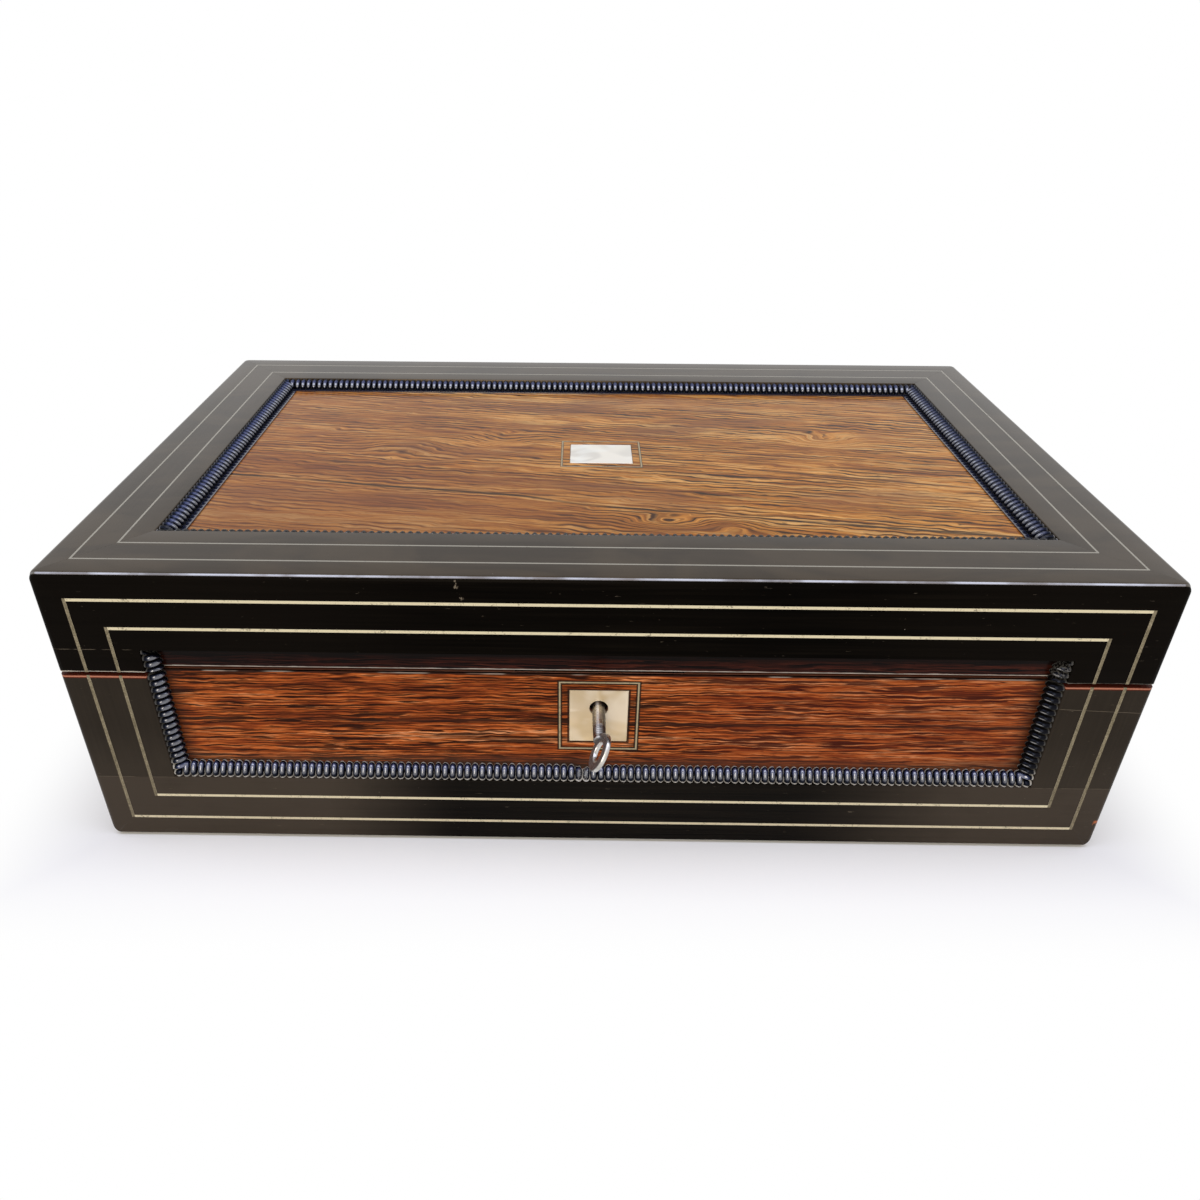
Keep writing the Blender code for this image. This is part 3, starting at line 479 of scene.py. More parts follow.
def rim_ease(mesh, side, width):
    """Ease the long edges at the split, which hands wear."""
    point, _ = at_split(side)
    lines = [line for line in mesh.edges if line.is_convex
             and all(abs((vert.co - point).dot(split_up)) < 1e-6 for vert in line.verts)
             and line.calc_length() > 0.004]
    bmesh.ops.bevel(mesh, geom=lines, offset=width, segments=3, profile=0.5, affect="EDGES")
    return mesh


def bright_arris(finish):
    """Polish lies thick on the front's top edge, which flashes under a lamp."""
    finish.keep_even(Coat_IOR=2.4, Coat_Roughness=0.14, Coat_Tint=(0.80, 0.90, 1.0, 1))
    over_edge = finish.y + finish.z + (half_depth - height)
    finish.paint(Coat_Weight=over_edge.near(arris * 0.35, arris * 0.42, 0.2) * (
        0.3 + finish.noise((60, 60, 60), 3).between(0.35, 0.6) * 0.7))


def painted_end_reflection(finish, grain):
    """How much painted brown-grey reflection lies on the black of the front face: none in the middle."""
    ends = (0 - finish.x).between(0.055, 0.120).either(finish.x.between(0.075, 0.160))
    on_face = 1 - (finish.y + half_depth).between(0.0020, 0.0035)
    lower = 1 - finish.z.between(0.033, 0.060) * 0.35
    mottled = finish.noise((45, 45, 45), 3, 0.6)
    return ends * on_face * lower * (0.55 + grain * 0.35 + mottled * 0.55)


def parted_joints(finish):
    """Hair lines where the wood has parted: two across the stiles, and one over each butt joint."""
    half_line = 0.00014
    left = finish.z.near(0.0948, half_line) * (1 - finish.x.between(-0.176, -0.172))
    right = (finish.z + finish.x * 0.045 - 0.0801).near(0, half_line) * finish.x.between(0.170, 0.172)
    over_joint = finish.z.near(frame_width, 0.00013) * abs(finish.x).between(0.170, 0.171)
    return left.either(right).either(over_joint) * finish.noise((120, 120, 120), 2).between(0.36, 0.50)


def corner_chip(finish):
    """A chip out of the foot's right corner, down to the red wood."""
    return (finish.x.near(0.2020, 0.0022) * finish.z.near(0.0141, 0.0016)
            * finish.noise((700, 700, 700), 1).between(0.42, 0.5))


def lid_crack(finish):
    """A short crack that runs down from the lid's top edge."""
    leaning = finish.x + (finish.noise((300, 300, 300), 2) - 0.5) * 0.004 + finish.z * 0.25
    return (leaning.near(-0.0215, 0.0009, 0.1) * finish.z.between(0.1170, 0.1180)
            * finish.noise((700, 700, 420), 2, 0.7).between(0.50, 0.58))


bare_rim, red_rim, red_edge = (0.50, 0.46, 0.39), (0.085, 0.016, 0.008), (0.42, 0.170, 0.105)
rubbed_grey, chipped_red = (0.17, 0.14, 0.10), (0.42, 0.13, 0.05)
front_black = {}
# The rail, the stiles and the lid front are one ebonised wood in three copies, each darker or lighter and
# glossier or duller as the light falls on it: painted light and shade.
for label, along, depth, sheen, reflected_brown in (
        ("rail", "x", 0.5, 0.05, (0.050, 0.039, 0.029)),
        ("stile", "z", 0.6, 0.05, (0.034, 0.0268, 0.0196)),
        ("lid", "x", 0.3, 0.015, (0.0050, 0.0038, 0.0028))):
    finish = Finish("ebonised_front_" + label, Roughness=0.22, Specular_IOR_Level=sheen,
                    Specular_Tint=warm_gleam)
    black, grain, cloud = ebonised_colour(finish, along, depth)
    # Painted reflection: brown-grey towards both ends of the front face, as a pale table in front would
    # show in its polish.
    black = finish.mix(black, reflected_brown, painted_end_reflection(finish, grain))
    gap = split_distance(finish)
    fray = finish.noise((260, 260, 260), 3, 0.6)
    line_wear = parted_joints(finish)
    rub = finish.noise((260, 260, 2600), 2, 0.5, 0.4, (2, 2, 5)).between(0.755, 0.775) * 0.5
    crack = lid_crack(finish) if label == "lid" else 0.0
    colour = finish.mix(black, rubbed_grey, rub.either(line_wear * 0.6).either(crack))
    if label == "lid":
        lost_corner = finish.x.between(-0.175, -0.165) * -0.0003
        rim_wear = 1 - (gap - half_gap - fray * 0.0006 - lost_corner).between(0.0001, 0.0004)
        colour = finish.mix(colour, bare_rim, rim_wear * (0.80 - finish.x.between(0.10, 0.17) * 0.45))
    else:
        front_edge = 1 - (finish.y + half_depth).between(0.0007, 0.0010)
        at_rim = (gap + half_gap + fray * 0.0004).between(-0.0011, -0.0009)
        colour = finish.layered(colour, (red_rim, at_rim), (
            red_edge, front_edge * (gap + half_gap).near(-0.0005, 0.0004)))
    finish.paint(Base_Color=finish.mix(colour, chipped_red, corner_chip(finish)),
                 Roughness=0.20 + cloud * 0.12)
    finish.relief(grain * 0.4 - rub - line_wear, 0.00006, 0.3)
    if label == "lid":
        bright_arris(finish)
    front_black[label] = finish


def front_ring():
    """The whole front frame in one, to be sawn into its members."""
    return nest(frame_loops(front_face, 0, -frame_depth - 5 * hairline, string_width, case_bottom), FRONT)


rail = sawn(front_ring(), ((0, 0, frame_width - hairline / 2), (0, 0, 1)))
set_out("front_rail", rail, front_black["rail"], "base", ["base_front_rail"])
for label, way in (("left", -1), ("right", 1)):
    stile = sawn(front_ring(), ((0, 0, frame_width + hairline / 2), (0, 0, -1)), at_split(-1),
                 ((0, 0, 0), (-way, 0, 0)))
    set_out("front_stile_" + label, rim_ease(stile, -1, worn_rim), front_black["stile"], "base",
            [f"base_{label}_stile"])
lid_front = sawn(front_ring(), at_split(1), (Vector((0, -half_depth, height - hairline)), (0, 1, 1)))
set_out("front_frame_of_lid", rim_ease(lid_front, 1, worn_rim), front_black["lid"], "lid",
        ["lid_front_frame"])


# String lines: square metal wire hammered into grooves and filed flush, mitred at the corners.
# Two run round the front, cut through with the split, and two round the top. Old tarnish darkens
# them in dashes.
def tarnished(name, bright, level, upright=None):
    """Metal with dark specks. Lines that stand upright, further out than is given, are duller."""
    finish = Finish(name, Metallic=1.0, Roughness=0.4)
    olive_stops = ((0.36, (0.07, 0.053, 0.030)), (0.56, (0.21, 0.170, 0.105)), (0.70, (0.40, 0.34, 0.23)))
    blotch = finish.noise((330, 330, 330), 3, 0.7)
    speck = finish.noise((1700, 1700, 1700), 2, 0.6)
    dull = (blotch * 0.5 + speck * 0.5).between(level, level + 0.16)
    colour = finish.mix(bright, tuple(tint * 0.30 for tint in bright), dull)
    if upright:
        away = abs(finish.x).between(upright + 0.00002, upright + 0.00004)
        olive = finish.ramp(speck * 0.6 + blotch * 0.4, *olive_stops)
        colour = finish.mix(colour, olive, away * 0.92)
    finish.paint(Base_Color=colour, Roughness=0.32 + dull * 0.3, Metallic=1 - dull * 0.5)
    finish.relief(speck, 0.00005, 0.4)
    return finish


def wire(face, inset, level, width, depth=groove_depth, place=Matrix.Identity(4)):
    """A line of metal round a rectangle, its middle at an inset from it."""
    low, high = level - depth + hairline, level
    return nest([inside(face, inset + side * width / 2, 0, z) for side, z in (
        (-1, low), (-1, high), (1, high), (1, low))], place, steps=1)


top_wire = tarnished("top_string_metal", (0.34, 0.32, 0.28), 0.56)
for label, inset in zip(("outer", "inner"), string_insets):
    metal = tarnished(f"front_{label}_string_metal", (0.74, 0.64, 0.43), 0.52,
                      half_width - inset - string_width / 2)
    for side, body, name in ((-1, "base", "base"), (1, "lid", "lid_front")):
        mesh = sawn(wire(front_face, inset, 0, string_width, place=FRONT), at_split(side))
        set_out(f"{name}_{label}_wire", mesh, metal, body, [f"{name}_{label}_string"])
    set_out(f"top_{label}_wire", wire(top_face, inset, height, top_string_width), top_wire, "lid",
            [f"lid_top_{label}_string"])


# Front panel: a sheet of rosewood veneer sunk 4.8 mm, its grain along the box, with a square
# opening for the escutcheon and a groove for the line round it. The dark streaks of the figure
# run nearly level, in bands, over an orange red ground.
panel_sink, panel_sheet, panel_top = 0.0048, 0.001, 0.0860
recess_x = half_width - frame_width - hairline
lock_x, keyhole_drop, plate_drop = -0.0015, 0.0173, 0.004
keyhole_z = split_at_front - keyhole_drop
plate_z = keyhole_z - plate_drop
plate_half_width, plate_share, plate_play = 0.0113, 0.49, 0.00008
plate_half = (plate_half_width, plate_share * (split_at_front - frame_width) / 2)
border_margin, border_width, border_depth = 0.0042, 0.001, 0.0004


def round_about(x, y, half_x, half_y, level, radius=0):
    """A rectangle about a middle."""
    return x - half_x, x + half_x, y - half_y, y + half_y, radius, level


def panel_loops(sides, centre, opening, level):
    """A sheet with an opening, and the groove of a border line round the opening."""
    reach = [size + border_margin for size in opening]
    outer, inner = groove_play, -border_width - groove_play
    loops = [(*sides, 0, level - panel_sheet), (*sides, 0, level)]
    for grow, sink in ((outer, 0), (outer, border_depth), (inner, border_depth), (inner, 0)):
        loops.append(round_about(*centre, reach[0] + grow, reach[1] + grow, level - sink))
    hole = [size + plate_play for size in opening]
    return loops + [round_about(*centre, *hole, level), round_about(*centre, *hole, level - panel_sheet)]


def from_outline(first, second, middle, half):
    """How far outside a rectangle a point lies."""
    return (abs(first - middle[0]) - half[0]).either(abs(second - middle[1]) - half[1])


def streaked(finish, level, ground, wave, bend, spacing, ripple, fineness=1.0, length=1.0, streaks=1.0,
             uneven=2.2):
    """Rosewood figure, drawn along X: warped bands, thin growth lines, streaks and short pores. The
    figure follows a level, which wave, bend and ripple disturb, over a ground of colour stops. Gives
    its colour, its fine grain and its pores."""
    flow = finish.noise((6 / length, bend, bend), 3, 0.55, shift=(1.7, 0.4, 0.2))
    curve = finish.noise((22 / length, bend * 4, bend * 4), 2, 0.5)
    wobble = finish.noise((130 / length, 190, 190), 1, 0.5)
    bent = level + (flow - 0.5) * wave + (curve - 0.5) * wave * 0.16 + (wobble - 0.5) * ripple
    spot = finish.node("ShaderNodeCombineXYZ", {}, {0: finish.x, 1: bent, 2: 0.0})

    def lines(along, across, detail, roughness, shift):
        at = finish.node("ShaderNodeMapping", {}, {
            "Vector": spot, "Scale": (along / length, across * fineness, 1), "Location": (shift, shift, 0)})
        return finish.node("ShaderNodeTexNoise", {}, {
            "Vector": at, "Scale": 1.0, "Detail": detail, "Roughness": roughness})

    broad = lines(4, 90, 2, 0.5, 9.0)
    middle = lines(24, 480, 2, 0.55, 3.0)
    fine = lines(60, 1350, 2, 0.6, 1.0)
    dashes = lines(36, 800, 2, 0.55, 14.0)
    pores = lines(260, 3000, 1, 0.5, 5.0)
    tone = fine * 0.34 + middle * 0.38 + broad * 0.28
    dark = (broad.between(0.60, 0.70) * 0.75).either(middle.between(0.57, 0.62) * 0.95).either(
        dashes.between(0.565, 0.61)).either(fine.between(0.58, 0.65) * 0.9) * streaks
    growth = (bent * (1 / spacing) + (middle + broad * 2) * uneven).math("FRACT").near(0.5, 0.30, 0.15)
    strength = finish.noise((30 / length, 160 * fineness, 160), 2).between(0.36, 0.54) * 0.9 + 0.10
    near_black = tuple(tint * 0.11 for tint in ground[1][1])
    colour = finish.layered(finish.ramp(tone, *ground), (near_black, dark.either(growth * strength)),
                            ((0.012, 0.005, 0.003), pores.between(0.63, 0.72) * 0.75))
    return colour, fine, pores


front_wood = Finish("front_rosewood", Roughness=0.3, Specular_IOR_Level=0.07,
                    Specular_Tint=(1.0, 0.80, 0.60, 1))
orange_red = ((0.40, (0.075, 0.014, 0.003)), (0.45, (0.195, 0.036, 0.007)), (0.49, (0.370, 0.080, 0.014)),
              (0.53, (0.560, 0.152, 0.034)), (0.59, (0.860, 0.370, 0.160)))
colour, fine, pores = streaked(front_wood, front_wood.z, orange_red, wave=0.0035, bend=30,
                               spacing=0.0014, ripple=0.0013)
redder = front_wood.x.between(0.01, 0.06)
sway = front_wood.noise((9, 9, 9), 3, 0.6) * 0.0035
band_breaks = front_wood.noise((30, 30, 400), 3).between(0.38, 0.52)
band = (front_wood.z + sway).near(0.0610, 0.0011, 0.2) * band_breaks
foot_shade = 1 - front_wood.z.between(0.0375, 0.0440)
side_shade = abs(front_wood.x).between(0.158, 0.1655)
# Painted shade: a dark line along the top of the panel, under the lid's strip.
shade_under_strip = front_wood.z.between(0.0817, 0.0820)
rim_dashes = front_wood.z.between(0.0819, 0.0821) * front_wood.noise((50, 50, 50), 2).between(0.50, 0.62)
rim_shade = front_wood.z.between(0.0820, 0.0822) * (
    front_wood.y + (half_depth - panel_sink)).between(0.00002, 0.00015)
grey = front_wood.noise((120, 120, 300), 3, 0.7)
line_half = [size + border_margin - border_width / 2 for size in plate_half]
glue = 0.0
for half, reach in ((plate_half, 0.0009), (line_half, border_width / 2 + 0.0006)):
    seam = from_outline(front_wood.x, front_wood.z, (lock_x, plate_z), half).near(0, reach, 0.75)
    glue = seam.either(glue)
colour = front_wood.layered(
    colour, ((0.13, 0.014, 0.006), redder * 0.26), ((0.022, 0.007, 0.004), band * 0.85),
    ((0.055, 0.032, 0.022), foot_shade * (0.35 + grey * 0.6)), ((0.016, 0.006, 0.004), side_shade * 0.75),
    ((0.020, 0.009, 0.007), shade_under_strip * 0.9), ((0.36, 0.30, 0.25), rim_dashes * 0.75),
    ((0.006, 0.003, 0.002), rim_shade), ((0.012, 0.006, 0.004), glue * 0.85))
front_wood.paint(Base_Color=colour, Roughness=0.26 + pores * 0.16)
front_wood.relief(fine - pores * 0.6, 0.00006, 0.3)
front_panel = nest(panel_loops((-recess_x, recess_x, frame_width + hairline, panel_top),
                               (lock_x, plate_z), plate_half, -panel_sink), FRONT, steps=1)
set_out("rosewood_front_panel", sawn(front_panel, at_split(-1)), front_wood, "base",
        ["base_front_panel"])


# Escutcheon: a small plate of mother-of-pearl let into the panel, drilled and slotted for the
# key, with a thin dull metal line round it.
def worked_out(carrier):
    """The plain mesh that an object's modifiers make."""
    bpy.context.view_layer.update()
    return bpy.data.meshes.new_from_object(carrier.evaluated_get(bpy.context.evaluated_depsgraph_get()))


def pierced(name, mesh, tools, finish, body, nodes):
    """A piece with holes cut by other meshes, which are thrown away."""
    piece = set_out(name, mesh, finish, body, nodes)
    for tool in tools:
        cutter = meshed("tool", tool)
        hole = piece.modifiers.new("Hole", "BOOLEAN")
        hole.operation, hole.object = "DIFFERENCE", cutter
        cut = worked_out(piece)
        piece.modifiers.remove(hole)
        piece.data = cut
        bpy.data.objects.remove(cutter)
    piece.data.set_sharp_from_angle(angle=math.radians(35))
    return piece


def pearly(name, upper, lower, tall, low, high):
    """Nacre: a slow change from cool to warm with soft bands, under a clear surface."""
    finish = Finish(name, Roughness=0.16, Coat_Weight=0.4, Coat_Roughness=0.08)
    swirl = finish.noise((55, 50, 60), 1, 0.5, 0.6)
    level = getattr(finish, tall)
    share = 1 - level.between(low, high) * 0.75 - swirl * 0.25
    shade = swirl.between(0.40, 0.55) * (1 - swirl.between(0.56, 0.66))
    milky = finish.noise((60, 60, 85), 2, 0.5, 0.8, (3, 1, 2)).between(0.44, 0.64)
    colour = finish.layered(
        finish.mix(upper, lower, share), (tuple(tint * 0.74 for tint in lower), shade * 0.75),
        (tuple(min(tint * 1.2, 0.92) for tint in upper), milky * 0.6))
    finish.paint(Base_Color=colour, Roughness=0.12 + swirl * 0.12)
    finish.relief(swirl, 0.00004, 0.15)
    return finish


plate_pearl = pearly("escutcheon_pearl", (0.66, 0.57, 0.43), (0.68, 0.50, 0.26), "z", 0.050, 0.074)
plate_ease, plate_corner, eased_corner, plate_rise = 0.00025, 0.0002, 0.0001, 0.00002
eye_radius, slot_half_width, slot_half_height = 0.00365, 0.0013, 0.00375
tool_reach = 0.01


def plate_of_pearl(x, y, half, face, place=Matrix.Identity(4)):
    """A thin plate with its front edges eased, from the back of its sheet to just over its face."""
    return nest([round_about(x, y, *half, level, plate_corner) for level in (
        face - panel_sheet, face - plate_ease)] + [round_about(
            x, y, half[0] - plate_ease, half[1] - plate_ease, face + plate_rise, eased_corner)],
        place, closed=False, steps=3)


eye = bmesh.new()
bmesh.ops.create_cone(eye, cap_ends=True, segments=64, radius1=eye_radius, radius2=eye_radius,
                      depth=2 * tool_reach, matrix=Matrix.Translation((lock_x, -half_depth, keyhole_z))
                      @ Matrix.Rotation(math.pi / 2, 4, "X"))
slot = nest([round_about(lock_x, keyhole_z - slot_half_height, slot_half_width, slot_half_height, level)
             for level in (-2 * tool_reach, tool_reach)], FRONT, closed=False, steps=1)
plate = plate_of_pearl(lock_x, plate_z, plate_half, -panel_sink, FRONT)
pierced("pearl_escutcheon", plate, (eye, slot), plate_pearl, "base", ["escutcheon"])


def border_metal(name, up, middle, half):
    """A dull line with a rubbed ridge, dark with glue at both edges."""
    finish = tarnished(name, (0.42, 0.335, 0.205), 0.53)
    off_middle = abs(from_outline(finish.x, getattr(finish, up), middle, [
        size + border_margin - border_width / 2 for size in half]))
    edge = (off_middle + finish.noise((700, 700, 700), 2) * 0.0002).between(0.00028, 0.00050)
    base_colour = finish.shader.inputs["Base Color"].links[0].from_socket
    finish.paint(Base_Color=finish.mix(Shade(finish, base_colour), (0.040, 0.032, 0.020), edge))
    return finish


def border_line(name, x, y, half, level, up, body, node, place=Matrix.Identity(4)):
    """The metal line round a plate, and its finish."""
    around = round_about(x, y, half[0] + border_margin, half[1] + border_margin, 0)[:4]
    metal = border_metal(name + "_metal", up, (x, y), half)
    set_out(name, wire(around, border_width / 2, level, border_width, border_depth, place), metal, body,
            [node])


border_line("escutcheon_line", lock_x, plate_z, plate_half, -panel_sink, "z", "base", "escutcheon_border",
            FRONT)


# Ripple moulding: ebonised quarter round, worked under a shaped scraper into even waves, mitred
# at the corners and glued into the angle of the recess. Each wave is one rib, and a node tree sets
# them in line. Wax and dust lie pale in the valleys. The crowns carry a painted blue-grey highlight,
# and the faces turned up a painted blue reflection of the sky.
ripple_width, ripple_height, ripple_pitch, valley = 0.0058, 0.0047, 0.00296, 0.66
rib_steps, round_steps, bend_share, spread_share, foot_crown = 3, 7, 0.45, 1.1, 0.86
fillet_width, fillet_height = 0.0019, 0.0006


def new_tree(name, inputs):
    """A node tree with named inputs, and a way to add linked nodes to it."""
    tree = bpy.data.node_groups.new(name, "GeometryNodeTree")
    tree.interface.new_socket(name="Geometry", in_out="INPUT", socket_type="NodeSocketGeometry")
    keys = {label: tree.interface.new_socket(name=label, in_out="INPUT", socket_type=kind).identifier
            for label, kind in inputs}
    tree.interface.new_socket(name="Geometry", in_out="OUTPUT", socket_type="NodeSocketGeometry")
    given = tree.nodes.new("NodeGroupInput").outputs

    def add(kind, settings=(), **sockets):
        made = tree.nodes.new(kind)
        for setting, value in dict(settings).items():
            setattr(made, setting, value)
        for words, value in sockets.items():
            socket = made.inputs[words.replace("_", " ")]
            if isinstance(value, bpy.types.NodeSocket):
                tree.links.new(value, socket)
            else:
                socket.default_value = value
        return made.outputs

    return tree, keys, given, add


def laid_out(tree, keys, points, values):
    """Run a node tree on a mesh of points, and give back the plain mesh that it makes."""
    carrier = linked("carrier", points)
    modifier = carrier.modifiers.new("Nodes", "NODES")
    modifier.node_group = tree
    for label, value in values.items():
        modifier[keys[label]] = value
    made = worked_out(carrier)
    carrier.modifiers.clear()
    bpy.data.objects.remove(carrier)
    mesh = bmesh.new()
    mesh.from_mesh(made)
    return mesh


ripple_tree, ripple_keys, given, add = new_tree("rippled_moulding", (
    ("Rib", "NodeSocketObject"), ("Ribs", "NodeSocketInt"), ("Pitch", "NodeSocketFloat"),
    ("Finish", "NodeSocketMaterial")))
pitch = add("ShaderNodeCombineXYZ", X=given["Pitch"])
line = add("GeometryNodeMeshLine", {"mode": "OFFSET"}, Count=given["Ribs"], Offset=pitch[0])
rib = add("GeometryNodeObjectInfo", Object=given["Rib"])
ribs = add("GeometryNodeInstanceOnPoints", Points=line[0], Instance=rib["Geometry"])
whole = add("GeometryNodeRealizeInstances", Geometry=ribs[0])
welded = add("GeometryNodeMergeByDistance", Geometry=whole[0], Distance=1e-6)
coated = add("GeometryNodeSetMaterial", Geometry=welded[0], Material=given["Finish"])
ripple_tree.links.new(coated[0], ripple_tree.nodes.new("NodeGroupOutput").inputs[0])


def rib_unit(name, foot):
    """One wave, open at both ends: its crown is a bar bent over the quarter round. Y is the way in
    from the frame and Z the way out from the panel. A wave of the lid has a plain fillet as its foot."""
    mesh = bmesh.new()
    dust, crown = (mesh.verts.layers.float.new(words) for words in ("dust", "crown"))
    rings = []
    for index in range(2 * rib_steps + 1):
        lean = math.pi / 2 * (index / rib_steps - 1)
        swell = valley + (1 - valley) * math.cos(lean)
        reach = math.sin(lean) * bend_share + lean / math.pi * spread_share
        ring = []
        for step in range(round_steps + 1):
            turn = math.pi / 2 * (1 - step / round_steps)
            end = abs(math.cos(2 * turn))
            size = swell * (1 - 0.07 * end ** 6)
            vert = mesh.verts.new((ripple_pitch * reach / 2, ripple_width * size * math.cos(turn),
                                   ripple_height * size * math.sin(turn)))
            vert[dust] = max((1 - math.cos(lean)) ** 1.5 * (0.55 + 0.45 * end ** 3), end ** 14 * 0.8)
            vert[crown] = math.cos(lean) * (1 - end ** 6)
            ring.append(vert)
        x = ring[0].co.x
        last = ripple_width + foot
        for y, z in ((ripple_width, fillet_height), (last, fillet_height), (last, 0)) if foot else ():
            ring.append(mesh.verts.new((x, y, z)))
            ring[-1][crown] = foot_crown
        ring.append(mesh.verts.new((x, 0, 0)))
        rings.append(ring)
    bridged(mesh, rings)
    return meshed(name, mesh)


ripple_black = Finish("ripple_black", Roughness=0.2, Specular_IOR_Level=0.10,
                      Specular_Tint=(0.50, 0.62, 1.0, 1), Coat_IOR=2.3, Coat_Roughness=0.13)
dusty, raised = (ripple_black.node("ShaderNodeAttribute", {"attribute_name": words}, {}, "Fac")
                 for words in ("dust", "crown"))
patchy = ripple_black.noise((420, 420, 420), 3, 0.7)
on_lid = ripple_black.z.between(0.1190, 0.1210)
at_right = ripple_black.x.between(0.1600, 0.1620)
along_foot = 1 - ripple_black.z.between(0.0380, 0.0420)
front_hidden = on_lid * (1 - ripple_black.y.between(-0.0845, -0.0810))
up_right_side = at_right * ripple_black.z.between(0.0385, 0.0400) * (1 - on_lid)
facing_up = (ripple_black.z.between(0.1253, 0.1260)).either(
    ripple_black.z.between(0.0358, 0.0370) * (1 - ripple_black.z.between(0.0385, 0.0390)))
broken_x, broken_half = -0.0072, 0.0024
broken_wave = ripple_black.x.near(broken_x, 0.0026) * ripple_black.z.near(0.036, 0.004) * 0.6
broken_stub = ripple_black.x.near(0.1678, 0.004) * ripple_black.z.near(0.0893, 0.0050) * 0.3
splinters = broken_wave.either(broken_stub) * (
    ripple_black.noise((1500, 1500, 1500), 2, 0.7).between(0.50, 0.60))
lying = (dusty + (patchy - 0.5) * 0.6).between(0.42, 0.66) * (along_foot * 0.85 + 0.15)
lying = lying.either(front_hidden * (dusty + (patchy - 0.5) * 0.9).between(0.5, 0.7) * 0.6)
polish = raised.between(0.58, 0.96) * (1 - (facing_up * on_lid * 0.75).either(front_hidden).either(
    up_right_side * (1 - raised.between(0.93, 0.99) * 0.6)))
# Painted reflection of a blue sky on the faces turned up.
painted_sky_reflection = facing_up * (1 - front_hidden) * (1 - on_lid * at_right * 0.7)
# Painted highlight: the crowns of the waves are painted a lighter blue-grey than the near-black valleys.
black = ripple_black.layered(
    (0.0015, 0.0015, 0.0022), ((0.0120, 0.0140, 0.0300), raised.between(0.3, 0.9)),
    ((0.034, 0.045, 0.118), painted_sky_reflection * raised.between(0.35, 0.85)),
    # Painted light and shade: the right run of the base and the hidden front run of the top are a duller
    # black, and the right run has thin painted highlights along its crowns.
    ((0.0040, 0.0034, 0.0030), up_right_side.either(front_hidden)),
    ((0.26, 0.25, 0.235), up_right_side * raised.between(0.935, 0.985) * 0.75),
    ((0.52, 0.50, 0.46), (lying * 0.85).either(splinters * 0.7)))
ripple_black.paint(Base_Color=black, Roughness=0.16 + lying * 0.5, Coat_Weight=polish * (1 - lying))
ripple_black.relief(patchy, 0.00005, 0.25)

plain_rib, footed_rib = rib_unit("rib", 0), rib_unit("footed_rib", fillet_width)


def moulding(rib, corner, far_corner, inward, outward, *cuts):
    """A run between two corners of a recess, cut square to the mitres at both ends."""
    along = (far_corner - corner).normalized()
    length = (far_corner - corner).length
    count = round(length / ripple_pitch)
    mesh = laid_out(ripple_tree, ripple_keys, bpy.data.meshes.new("points"), {
        "Rib": rib, "Ribs": count + 2, "Pitch": length / count, "Finish": ripple_black.material})
    start = corner - along * length / count / 2
    turn = Matrix((along, inward, outward)).transposed()
    bmesh.ops.transform(mesh, matrix=Matrix.Translation(start) @ turn.to_4x4(), verts=mesh.verts)
    return sawn(mesh, (corner, inward - along), (far_corner, inward + along), *cuts)


x_way, y_way, z_way = Vector((1, 0, 0)), Vector((0, 1, 0)), Vector((0, 0, 1))
recess_y = half_depth - frame_width - hairline
mitre_smooth = 50
low = Vector((0, -half_depth + panel_sink - hairline, frame_width + hairline))
high = low + z_way * (height - 2 * frame_width)
bottom_run = moulding(plain_rib, low - x_way * recess_x, low + x_way * recess_x, z_way, -y_way)
for vert in bottom_run.verts:
    if abs(vert.co.x - broken_x) < broken_half and vert.co.z > low.z + 0.0005:
        sunk = low.lerp(vert.co, 0.72 + 0.1 * math.sin(vert.co.x * 9000))
        vert.co = Vector((vert.co.x, sunk.y, sunk.z))
set_out("front_ripple_bottom", bottom_run, ripple_black, "base",
        ["base_ripple_bottom"], mitre_smooth)
for label, way in (("left", -1), ("right", 1)):
    run = (plain_rib, low + x_way * way * recess_x, high + x_way * way * recess_x, -way * x_way, -y_way)
    set_out("front_ripple_" + label, moulding(*run, at_split(-1)), ripple_black, "base",
            ["base_ripple_" + label], mitre_smooth)
    set_out("lid_ripple_stub_" + label, moulding(*run, at_split(1)), ripple_black, "lid",
            (), mitre_smooth)
level = height - panel_sink + hairline
for across, along, half_across, half_along, labels in (
        (y_way, x_way, recess_y, recess_x, ("front", "back")),
        (x_way, y_way, recess_x, recess_y, ("left", "right"))):
    for label, way in zip(labels, (-1, 1)):
        ends = [across * way * half_across + along * side * half_along + z_way * level for side in (-1, 1)]
        set_out("top_ripple_" + label, moulding(footed_rib, *ends, -way * across, z_way), ripple_black,
                "lid", ["lid_ripple_" + label], mitre_smooth)


# Strip of the lid: a plain slip of dark stained rosewood that closes the front recess above the
# split. Its lower edge is worn to a thin pale line, and its upper part darkens in a painted shadow
# under the top rail.
strip_drop, strip_rim = 0.004, 0.0004
strip_wood = Finish("dark_rosewood", Roughness=0.28, Specular_IOR_Level=0.05)
dark_red = ((0.36, (0.006, 0.002, 0.0015)), (0.50, (0.030, 0.006, 0.003)), (0.66, (0.110, 0.024, 0.012)))
colour, fine, _ = streaked(strip_wood, strip_wood.z, dark_red, wave=0.002, bend=20, spacing=0.002,
                           ripple=0.001)
fray = strip_wood.noise((150, 150, 150), 3, 0.6)
bare = 1 - (split_distance(strip_wood) - half_gap - fray * 0.0006).between(0.0001, 0.0004)
